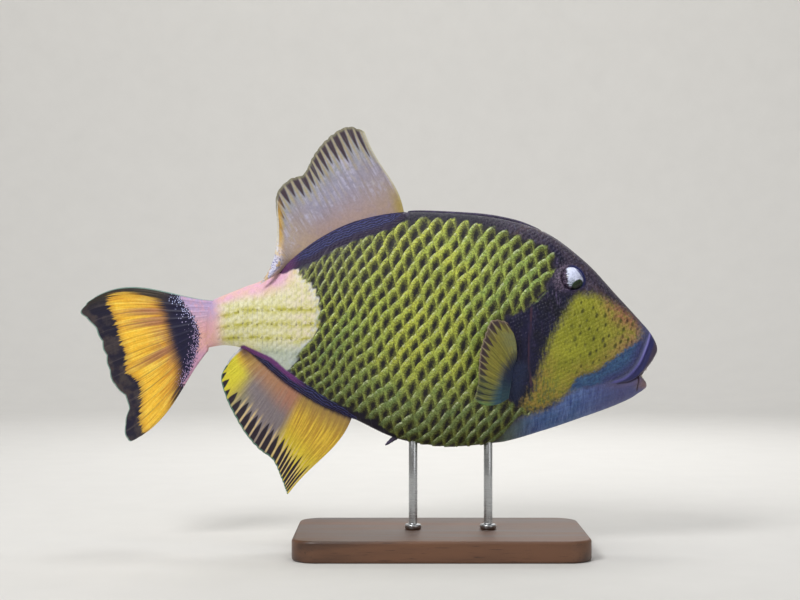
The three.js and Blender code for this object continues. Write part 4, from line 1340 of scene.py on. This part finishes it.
def scaleColour(i, j, dark, cloud, mottle, x, z):
    # a runs along the scale's upper edge, b down across it; the hollow is a steep slot with pointed ends
    a, b = calc("FRACT", i), calc("FRACT", j)
    da, db = a - 0.6, b - 0.72
    across = abs((da * 0.7 + db) / 0.33)
    upright = abs((da * 0.815 - db) / 0.46)
    away = (across ** 1.6 + upright ** 1.6) ** 0.625
    away = away / (dark * 0.5 + 0.78)
    grain = grains(2.2, 4, 0.75)
    away = away + (grain - 0.5) * 1.9
    green = layered("#7d9447",
        (fade(cloud, 0.36, 0.62), "#a3aa44"),
        (fade(abs(x + 0.03), 0.09, 0.02) * fade(z, 0.16, 0.2) * 0.5, "#b4b53e"),
        (fade(x, -0.05, -0.11) * fade(z, 0.23, 0.29) * 0.7, "#7a7c42"),
        (fade(x, 0.02, 0.07) * 0.55, "#708749"),
        (fade(mottle, 0.45, 0.66, 0, 0.6), "#9dad4e"),
        (fade(mottle, 0.5, 0.36, 0, 0.45), "#627330"),
        (fade(z, 0.2, 0.13, 0, 0.8), "#586a44"),
        (fade(x, -0.03, -0.1) * fade(z, 0.26, 0.19) * 0.6, "#55683c"),
    )
    # painted highlight: a pale greyed line along the upper edge of each ridge, where it catches the light
    crestHighlight = fade(b, 0.24, 0.04) * fade(abs(a - 0.6), 0.5, 0.2) * fade(grains(3.4, 3, 0.7), 0.45, 0.62)
    bar = fade(a, 0.3, 0.12) * fade(b, 0.25, 0.5)
    # the dark slot and its olive halo are partly the scale's own dark pigment and partly painted shade where
    # the free edge of the neighbouring scale overhangs it
    colour = layered(green,
        (fade(away, 2.4, 1.2, 0, 0.9), "#4a4b22"),
        (fade(away, 1.3, 0.5), "#1c191b"),
        (crestHighlight * 0.62, "#c3c9a4"),
        (bar * 0.35, "#8d9440"),
    )
    colour = shaded(colour, fade(grain, 0.34, 0.66), 0.74, 1.26)
    return shaded(colour, fade(grains(1.1, 3, 0.7), 0.34, 0.66), 0.84, 1.18)


def wetSkin(grainMm, grainDepth):
    # fish skin under a film of slime: satin, with a soft clear coat that gives small moving highlights
    colour, mottle = paintMarkings()
    wrinkle = relief(grains(2.4, 3, 0.6, (1, 1, 0.25)), 0.12, 0.4)
    plates = grains(grainMm, 2, kind="ShaderNodeTexVoronoi")
    return {"IOR": 1.36, "Coat Weight": 0.05, "Coat Roughness": 0.3, "Base Color": colour,
            "Roughness": fade(mottle, 0.3, 0.75, 0.45, 0.65),
            "Normal": relief(plates, grainDepth, 0.5, wrinkle)}


def membrane(paint, threads=0.55):
    # thin membrane over horny rays: satin, a little light comes through it; threads are counted to the mm
    t, v, margin = stored("finPlace")
    u, wide, out = stored("finAcross")
    f = abs(calc("FRACT", t) - 0.5)      # 0 on a ray, 0.5 between
    dice = put("ShaderNodeTexWhiteNoise", {"noise_dimensions": "1D", "W": calc("FLOOR", t)})
    web = put("ShaderNodeTexWhiteNoise", {"noise_dimensions": "1D", "W": calc("ROUND", t)})
    lines = put("ShaderNodeCombineXYZ", {0: wide * threads, 1: out * 0.022})
    strand = put("ShaderNodeTexNoise", {"Scale": 1.0, "Detail": 3.0, "Roughness": 0.6, 0: lines})
    colour = paint(t=t, v=v, margin=margin, u=u, out=out, f=f, dice=dice, web=web, strand=strand)
    across = put("ShaderNodeCombineXYZ", {0: t, 1: out * 0.22})
    joints = put("ShaderNodeTexWave", {"Scale": 1.0, "Distortion": 0.6, "bands_direction": "Y", 0: across})
    return {"IOR": 1.38, "Coat Weight": 0.05, "Coat Roughness": 0.3, "Subsurface Weight": 0.1,
            "Subsurface Radius": (0.004, 0.003, 0.002), "Subsurface Scale": 1.0,
            "Base Color": shaded(colour, grains(2.2, 4), 0.82, 1.14),
            "Roughness": fade(strand, 0.3, 0.7, 0.42, 0.6),
            "Normal": relief(strand, 0.3, 0.6, relief(joints, 0.12, 0.25))}


def wedge(v, f, web, start, width, soft, long):
    # a dark streak in the web between two rays that widens from start outwards, each of its own length
    grow = fade(v - (start + web * 0.09), 0.0, long)
    reach = 0.5 - grow * width
    on = fade(f - reach, -soft, soft)
    return on * fade(grow, 0.02, 0.3)


def paintDorsal(v, u, margin, f, strand, web, **others):
    # lavender beige with pale rays, dark wedges between them, a yellow strip and a pale margin behind
    streaky = fade(v, 0.15, 0.4)
    patches = grains(8, 3, 0.6)
    warm = fade(f, 0.34, 0.1) * fade(v, 0.25, 0.5) * fade(grains(12, 3), 0.42, 0.6) * 0.3
    rays = fade(f, 0.26, 0.06) * fade(v, 0.55, 0.78) * 0.6
    threads = fade(strand, 0.3, 0.5, 0.75, 0.97)
    dark = wedge(v, f, web, 0.58, 0.36, 0.13, 0.32) * fade(u, 0.02, 0.05) * fade(u, 0.9, 0.84) * threads
    hind = fade(u, 0.72, 0.82)
    strip = hind * fade(margin, 20, 6) * fade(margin, 3.4, 6.0) * fade(strand, 0.3, 0.5, 0.4, 0.8)
    colour = layered("#a78f88",
        (fade(v, 0.05, 0.5), "#938fa2"),
        (fade(v, 0.5, 0.8) * 0.7, "#949a98"),
        (fade(u, 0.3, 0.05) * fade(v, 0.7, 0.3) * 0.4, "#a08a6c"),
        (fade(u, 0.55, 0.8) * fade(v, 0.75, 0.4) * 0.6, "#b39d80"),
        (fade(strand, 0.42, 0.66) * fade(patches, 0.4, 0.6) * streaky * 0.75, "#b6b2ca"),
        (fade(strand, 0.48, 0.36) * streaky * 0.35, "#85747c"),
        (fade(patches, 0.5, 0.36) * fade(v, 0.5, 0.2) * 0.4, "#9a8a94"),
        (warm, "#b7aa84"),
        (rays, "#a59668"),
        (dark, "#352432"),
        (strip, "#cba043"),
        (hind * fade(margin, 5, 3.6) * fade(v, 0.1, 0.3), "#cbc6bc"),
    )
    tip = fade(u, 0.9, 0.96) * fade(margin, 17, 10)
    speckled = layered("#cac8da",
        (fade(grains(1.9, 3, 0.7), 0.47, 0.62), "#7476a4"),
        (fade(grains(6, 2), 0.52, 0.62, 0, 0.7), "#cfae62"),
    )
    rim = fade(margin, 4.4, 1.2) * fade(u, 0.86, 0.8)
    low = fade(v, 0.42, 0.1) * fade(u, 0.09, 0.02) * 0.7
    return layered(colour,
        (tip, speckled),
        (rim * 0.8, "#73715a"),
        (fade(u, 0.022, 0.0, 0, 0.8), "#c9c2a2"),
        (low, "#a08c34"),
    )


def paintAnal(v, u, margin, f, strand, dice, web, **others):
    # yellow in front and behind, grey mauve between, with dark wedges and a plum foot
    yellow = layered("#b98f30", (fade(strand, 0.38, 0.62), "#e0bd3c"))
    colour = layered(yellow,
        (fade(v, 0.35, 0.05, 0, 0.85), "#947748"),
        (fade(v, 0.4, 0.7) * fade(u, 0.55, 0.4) * 0.6, "#d2c52e"),
    )
    grey = layered("#7c7276",
        (fade(v, 0.46, 0.12), "#a97c5c"),
        (fade(u, 0.64, 0.5) * fade(v, 0.5, 0.2) * 0.4, "#a8685a"),
        (fade(u, 0.62, 0.8) * fade(v, 0.45, 0.7) * 0.5, "#8f8f48"),
        (fade(strand, 0.5, 0.64, 0, 0.25), "#a49a90"),
    )
    middle = fade(u + strand * 0.06, 0.42, 0.5) * fade(u, 0.94, 0.72)
    rear = fade(u, 0.86, 0.95) * fade(v, 0.5, 0.2)
    rays = fade(f, 0.18, 0.08) * fade(v, 0.55, 0.75) * fade(u, 0.8, 0.7) * 0.85
    begin = fade(u, 0.68, 0.84, 0.56, 0.72)
    dark = wedge(v, f, web, begin, 0.36, 0.08, 0.24) * fade(u, 0.01, 0.04) * fade(u, 0.985, 0.96)
    plum = fade(u, 0.84, 0.96) * fade(v, 0.36, 0.14) * 0.85
    return layered(colour,
        (middle, grey),
        (fade(u, 0.74, 0.86) * fade(v, 0.25, 0.5), "#d6cb38"),
        (rear * 0.85, "#c9a23a"),
        (rays * fade(dice, 0.1, 0.5, 0.3, 1.0) * fade(margin, 1, 5, 0.5, 1.0), "#d9c08c"),
        (dark, "#251b28"),
        (fade(margin, 2.4, 0.8, 0, 0.8), "#5f8a78"),
        (fade(u, 0.972, 0.992), "#b9bcc8"),
        (plum, "#4a2a40"),
        (fade(v + strand * 0.06, 0.13, 0.07, 0, 0.9), "#221b38"),
    )


def paintCaudal(v, u, margin, f, strand, dice, t, out, **others):
    # gold inside the orange outline, dark bands round it, lavender specks on the basal band, a pink root
    orangeArea, rootArea = stored("tailBands")[:2]
    z = parts(put("ShaderNodeTexCoord", {}, "Object"))[2]
    ragged = (strand - 0.5) * 18
    patches = fade(grains(11, 3), 0.35, 0.6)
    inner = fade(v, 0.62, 0.4) * fade(u, 0.2, 0.4) * fade(u, 0.78, 0.62) * patches * 0.6
    brown = fade(dice, 0.7, 0.75) * fade(v, 0.9, 0.5) * fade(f, 0.48, 0.3) * 0.75
    gold = layered("#bf7f36",
        (fade(v, 0.3, 0.72), "#f2bd34"),
        (fade(strand, 0.48, 0.62) * fade(v, 0.3, 0.6, 0.3, 0.85), "#fadb5c"),
        (fade(strand, 0.46, 0.34, 0, 0.6), "#c07c2c"),
        (fade(f, 0.08, 0.02) * fade(dice, 0.1, 0.9, 0.15, 0.6), "#86562c"),
        (inner, "#a87e5c"),
        (brown, "#a06a50"),
        (fade(orangeArea, 9, 1, 0, 0.45), "#a8742e"),
    )
    outerPart = fade(v, 0.5, 0.7)
    basal = fade(v, 0.45, 0.3)
    dark = layered("#17142b",
        (fade(grains(15, 3), 0.4, 0.6), "#3f3639"),
        (fade(f, 0.12, 0.03) * outerPart * fade(strand, 0.4, 0.6) * 0.3, "#665a58"),
        (basal, "#110e32"),
        (fade(u, 0.16, 0.05) * fade(v, 0.3, 0.5) * 0.7, "#3a3426"),
    )
    soft = fade(v, 0.6, 0.38, 1.6, 6.5)
    inOrange = (orangeArea + ragged) / soft
    cells = put("ShaderNodeCombineXYZ", {0: t * 3.8, 1: out * 0.7})
    specks = put("ShaderNodeTexVoronoi", {"voronoi_dimensions": "2D", "Scale": 1.0, 0: cells})
    chance = parts(specks.other("Color"))[0]
    share = fade(rootArea, -17, 1) ** 1.7
    chosen = fade(chance - share * 0.8, 0.02, -0.02)
    lit = chosen * fade(specks, 0.4, 0.24) * basal
    speckEdge = (grains(2.0, 2, 0.7) - 0.5) * 16
    rim = calc("MAXIMUM", fade(margin, 2.0, 0.5), fade(u, 0.012, 0.002))
    return layered(dark,
        (fade(inOrange, -0.9, 1.1), gold),
        (lit, layered("#b8a0cc", (fade(z, 0.22, 0.26), "#c2caf6"))),
        (fade(rootArea + speckEdge, -0.8, 0.8), tailPink(z)),
        (rim * 0.85, "#8fb0a6"),
    )


def paintPectoral(v, u, margin, f, strand, dice, web, **others):
    # olive with dark wedges, dark webs below and a blue foot
    uneven = fade(web, 0.1, 0.5, 0.55, 0.95)
    streaks = wedge(v, f, web, 0.62, 0.38, 0.1, 0.24) * fade(margin, 0.6, 2.2) * uneven
    rays = fade(f, 0.09, 0.02) * fade(v, 0.72, 0.84) * fade(dice, 0.35, 0.6) * 0.5
    lower = fade(u, 0.6, 0.8)
    colour = layered("#6a6626",
        (fade(strand, 0.35, 0.65), "#8d8634"),
        (fade(u, 0.3, 0.05) * fade(v, 0.9, 0.6) * 0.7, "#717655"),
        (fade(grains(7, 3), 0.48, 0.62) * 0.4, "#857a34"),
        (fade(v, 0.86, 0.97) * fade(u, 0.75, 0.6) * 0.75, "#6d5a55"),
        (streaks, "#33222c"),
        (rays, "#a89a8c"),
        (lower * 0.5, "#4c5f3c"),
        (lower * fade(f, 0.34, 0.46) * fade(v, 0.35, 0.6) * 0.85, "#181c20"),
        (fade(u, 0.93, 0.99) * 0.6, "#5d8a4c"),
        (fade(margin, 1.3, 0.4, 0, 0.2), "#857c76"),
    )
    footEdge = v - u * 0.42 + (strand - 0.5) * 0.3
    foot = fade(footEdge, 0.3, -0.06)
    footColour = layered("#1b2848", (fade(u, 0.45, 0.9), "#2b4a58"))
    return layered(colour, (foot, footColour))


def wetEye():
    # a living eye: glassy cornea over a chalk-white ball and a dark green iris, skin over its rear
    angle, ahead, up = stored("gaze")
    blots = grains(1.5, 4, 0.7)
    at = angle + (blots - 0.5) * 0.16
    iris = layered("#050b06",
        (fade(grains(1.6, 4, 0.7), 0.4, 0.62), "#1f3a10"),
        (fade(angle, 0.2, 0.12), "#020405"),
        (fade(up, -0.52, -0.66), "#030508"),
    )
    clouded = fade(at, 0.98, 0.66) * fade(ahead, 0.3, 0.05) * fade(blots, 0.4, 0.56)
    white = layered("#d3d9f2",
        (fade(grains(2.6, 3), 0.4, 0.7), "#b4bad2"),
        (clouded, "#54666e"),
    )
    streaks = grains(1.5, 3, 0.6, (0.5, 1, 1.6))
    lidLine = ahead + up * 0.1 + (streaks - 0.5) * 0.6
    lid = calc("MAXIMUM", fade(lidLine, -0.2, -0.34), fade(up, -0.4, -0.52))
    # skin of the lid over the ball's rear and lower edge, with painted shade of the socket in near-black
    # beneath the iris
    lidAndSocketShade = layered("#241d30",
        (fade(streaks, 0.42, 0.62), "#6a5a70"),
        (fade(up, -0.2, -0.5) * fade(ahead, -0.05, 0.2), "#171628"),
    )
    # painted shadow of the socket's rim: dark navy on the front and upper edge of the ball
    rimShadow = fade(ahead * 0.8 + up * 0.6, 0.7, 0.8) * 0.95
    colour = layered(white,
        (lid, lidAndSocketShade),
        (fade(at, 0.6, 0.52), iris),
        (rimShadow, "#1a2870"),
    )
    return {"Roughness": 0.3, "IOR": 1.34, "Coat Weight": 0.25, "Coat Roughness": 0.06, "Base Color": colour,
            "Normal": relief(grains(1.2, 2), 0.04, 0.3)}


def toothEnamel():
    # worn cream enamel, yellower towards the gum and glossy
    colour = layered("#b08f78",
        (fade(stored("tooth")[0], 0.2, 0.8), "#d8ccb6"),
        (fade(grains(1.2, 4), 0.5, 0.7, 0, 0.35), "#a88a68"),
    )
    return {"IOR": 1.62, "Coat Weight": 0.3, "Coat Roughness": 0.1, "Base Color": colour,
            "Roughness": fade(grains(2, 3), 0.3, 0.7, 0.22, 0.4),
            "Normal": relief(grains(0.8, 3, 0.6, (1, 1, 0.2)), 0.08, 0.5)}


def skinnedBone():
    # rough bone under thin skin: dark plum, paler on its knobs
    knobs = grains(1.8, 2, kind="ShaderNodeTexVoronoi")
    colour = layered("#231c33",
        (fade(grains(4, 4), 0.35, 0.7), "#433858"),
        (fade(knobs, 0.3, 0.05, 0, 0.4), "#7b7090"),
    )
    return {"IOR": 1.45, "Coat Weight": 0.1, "Coat Roughness": 0.3, "Base Color": colour,
            "Roughness": fade(knobs, 0.0, 0.6, 0.4, 0.62), "Normal": relief(knobs, 0.35, 0.6)}


def oiledWalnut():
    # planed walnut rubbed with oil: long brown grain along X, fine open pores, low sheen
    rings = grains(26, 4, 0.6, (0.10, 1, 1))
    pores = grains(1.1, 2, 0.6, (0.05, 1, 1))
    colour = layered("#3a2417",
        (fade(rings, 0.3, 0.7), "#6b4730"),
        (fade(pores, 0.6, 0.72, 0, 0.7), "#24150d"),
    )
    return {"IOR": 1.5, "Coat Weight": 0.15, "Coat Roughness": 0.35, "Base Color": colour,
            "Roughness": fade(rings, 0.3, 0.7, 0.42, 0.58), "Normal": relief(pores, 0.08, 0.5)}


def brushedSteel():
    # turned and brushed stainless steel: fine rings round the rod blur the reflections up and down
    brush = grains(12, 2, 0.5, (0.2, 0.2, 40))
    return {"Metallic": 1.0, "Anisotropic": 0.4, "Base Color": layered("#a3a5a7", (brush, "#c6c8ca")),
            "Roughness": fade(brush, 0.3, 0.7, 0.24, 0.34), "Normal": relief(brush, 0.006, 0.3)}


def mattPaper():
    # matt photographer's paper, very slightly mottled
    return {"Roughness": 0.9, "Base Color": layered("#d0ceca", (grains(60, 3), "#d6d4d0")),
            "Normal": relief(grains(2, 3), 0.05, 0.2)}


# Build

scaleSkin = newMaterial("wetScalySkin", wetSkin, 1.5, 0.12)
plateSkin = newMaterial("wetPlateScales", wetSkin, 1.4, 0.3)

skin = makeSkin(scaleSkin)
print("skin", len(skin.data.polygons))

for side in (-1, 1):
    flankScales(side, plateSkin)
    headPlates(side, scaleSkin)
    throatPlates(side, scaleSkin)
    tailPlates(side, scaleSkin)
    sheathPlates("dorsal", side, scaleSkin)
    sheathPlates("anal", side, scaleSkin)
print("coat")

dorsalMembrane = newMaterial("dorsalMembrane", membrane, paintDorsal, 0.26)
makeFin("dorsal", 1, dorsalMembrane, ("dorsal_fin",), "dorsal_fin_rays")
analMembrane = newMaterial("analMembrane", membrane, paintAnal)
makeFin("anal", 1, analMembrane, ("anal_fin",), "anal_fin_rays")
caudalMembrane = newMaterial("caudalMembrane", membrane, paintCaudal)
makeFin("caudal", 1, caudalMembrane, ("caudal_fin",), "caudal_fin_rays")
pectoralMembrane = newMaterial("pectoralMembrane", membrane, paintPectoral)
makeFin("pectoral", -1, pectoralMembrane, ("pectoral_fin_right",), "pectoral_rays_right")
makeFin("pectoral", 1, pectoralMembrane, ("pectoral_fin_left",), "pectoral_rays_left")
print("fins")

eyeball = newMaterial("wetEyeball", wetEye)
makeEye(-1, eyeball)
makeEye(1, eyeball)
enamel = newMaterial("toothEnamel", toothEnamel)
makeTeeth("upper", enamel)
makeTeeth("lower", enamel)
bone = newMaterial("skinnedBone", skinnedBone)
makeSpine(bone)
makePelvicKnob(bone)
makeBase(newMaterial("oiledWalnut", oiledWalnut))
steel = newMaterial("brushedSteel", brushedSteel)
for node in stand["rods"]:
    makeRod(node, steel)
print("eyes, teeth, spines and stand")


# Stage: a paper sweep, soft lamps and the camera, level with the fish and square to its right side

stage = {"radius": 3300, "rise": 3000, "bend": 1100, "around": 96}
view = {"x": -41.6, "z": 260.0, "away": 1700.0, "lens": 73.56}
lamps = [
    {"name": "key", "at": (-900, -1300, 1500), "size": 700, "power": 26.5},
    {"name": "fill", "at": (1300, -1500, 600), "size": 1200, "power": 4.5},
    {"name": "top", "at": (0, -100, 1900), "size": 1400, "power": 11},
    {"name": "back", "at": (300, 1300, 1200), "size": 1200, "power": 7},
    {"name": "wall", "at": (0, 900, 2300), "towards": (0, 3300, 700), "size": 1500, "power": 42},
]


def makeSweep(material):
    # a round floor that turns up in a quarter circle into a wall: one profile turned about the upright axis
    bend = np.linspace(0, math.pi / 2, 24)
    r = stage["bend"]
    reach = np.concatenate([[400.0, 1500.0], stage["radius"] - r + r * np.sin(bend), [stage["radius"]]])
    z = np.concatenate([[0, 0], r - r * np.cos(bend), [stage["rise"]]])
    reach, z = reach[:, None], z[:, None]
    turn = turns(stage["around"])
    grid = np.stack(np.broadcast_arrays(reach * np.cos(turn), reach * np.sin(turn), z), -1)
    count = grid.shape[0] * grid.shape[1]
    points = np.vstack([grid.reshape(-1, 3), [[0, 0, 0]]])
    k = np.arange(stage["around"])
    centre = np.stack([np.full(len(k), count), k, (k + 1) % len(k)], -1)
    mesh = bpy.data.meshes.new("paper_sweep")
    quads = gridQuads(grid.shape[0], stage["around"], True)[:, ::-1]
    mesh.from_pydata((points * mm).tolist(), [], quads.tolist() + centre.tolist())
    mesh.polygons.foreach_set("use_smooth", np.ones(len(mesh.polygons), bool))
    mesh.materials.append(material)
    sweep = bpy.data.objects.new("paper_sweep", mesh)
    scene.collection.objects.link(sweep)


def aim(thing, at, towards):
    # turns a lamp or camera so that its -Z axis points from one place to the other
    way = Vector(towards) - Vector(at)
    thing.location = Vector(at) * mm
    thing.rotation_euler = way.to_track_quat("-Z", "Y").to_euler()


makeSweep(newMaterial("paperSweep", mattPaper))
for lamp in lamps:
    light = bpy.data.lights.new(lamp["name"], "AREA")
    light.shape = "DISK"
    light.size = lamp["size"] * mm
    light.energy = lamp["power"]
    holder = bpy.data.objects.new(lamp["name"], light)
    scene.collection.objects.link(holder)
    holder.visible_camera = False
    aim(holder, lamp["at"], lamp.get("towards", (0, 0, 240)))

world = bpy.data.worlds.new("studio")
world.use_nodes = True
world.node_tree.nodes["Background"].inputs[0].default_value = hexColor("#e6ebf2")
world.node_tree.nodes["Background"].inputs[1].default_value = 0.24
scene.world = world
scene.view_settings.view_transform = "Standard"

camera = bpy.data.cameras.new("camera")
camera.lens = view["lens"]
camera.sensor_width = 36.0
holder = bpy.data.objects.new("camera", camera)
scene.collection.objects.link(holder)
aim(holder, (view["x"], -view["away"], view["z"]), (view["x"], 0, view["z"]))
scene.camera = holder
print("stage")
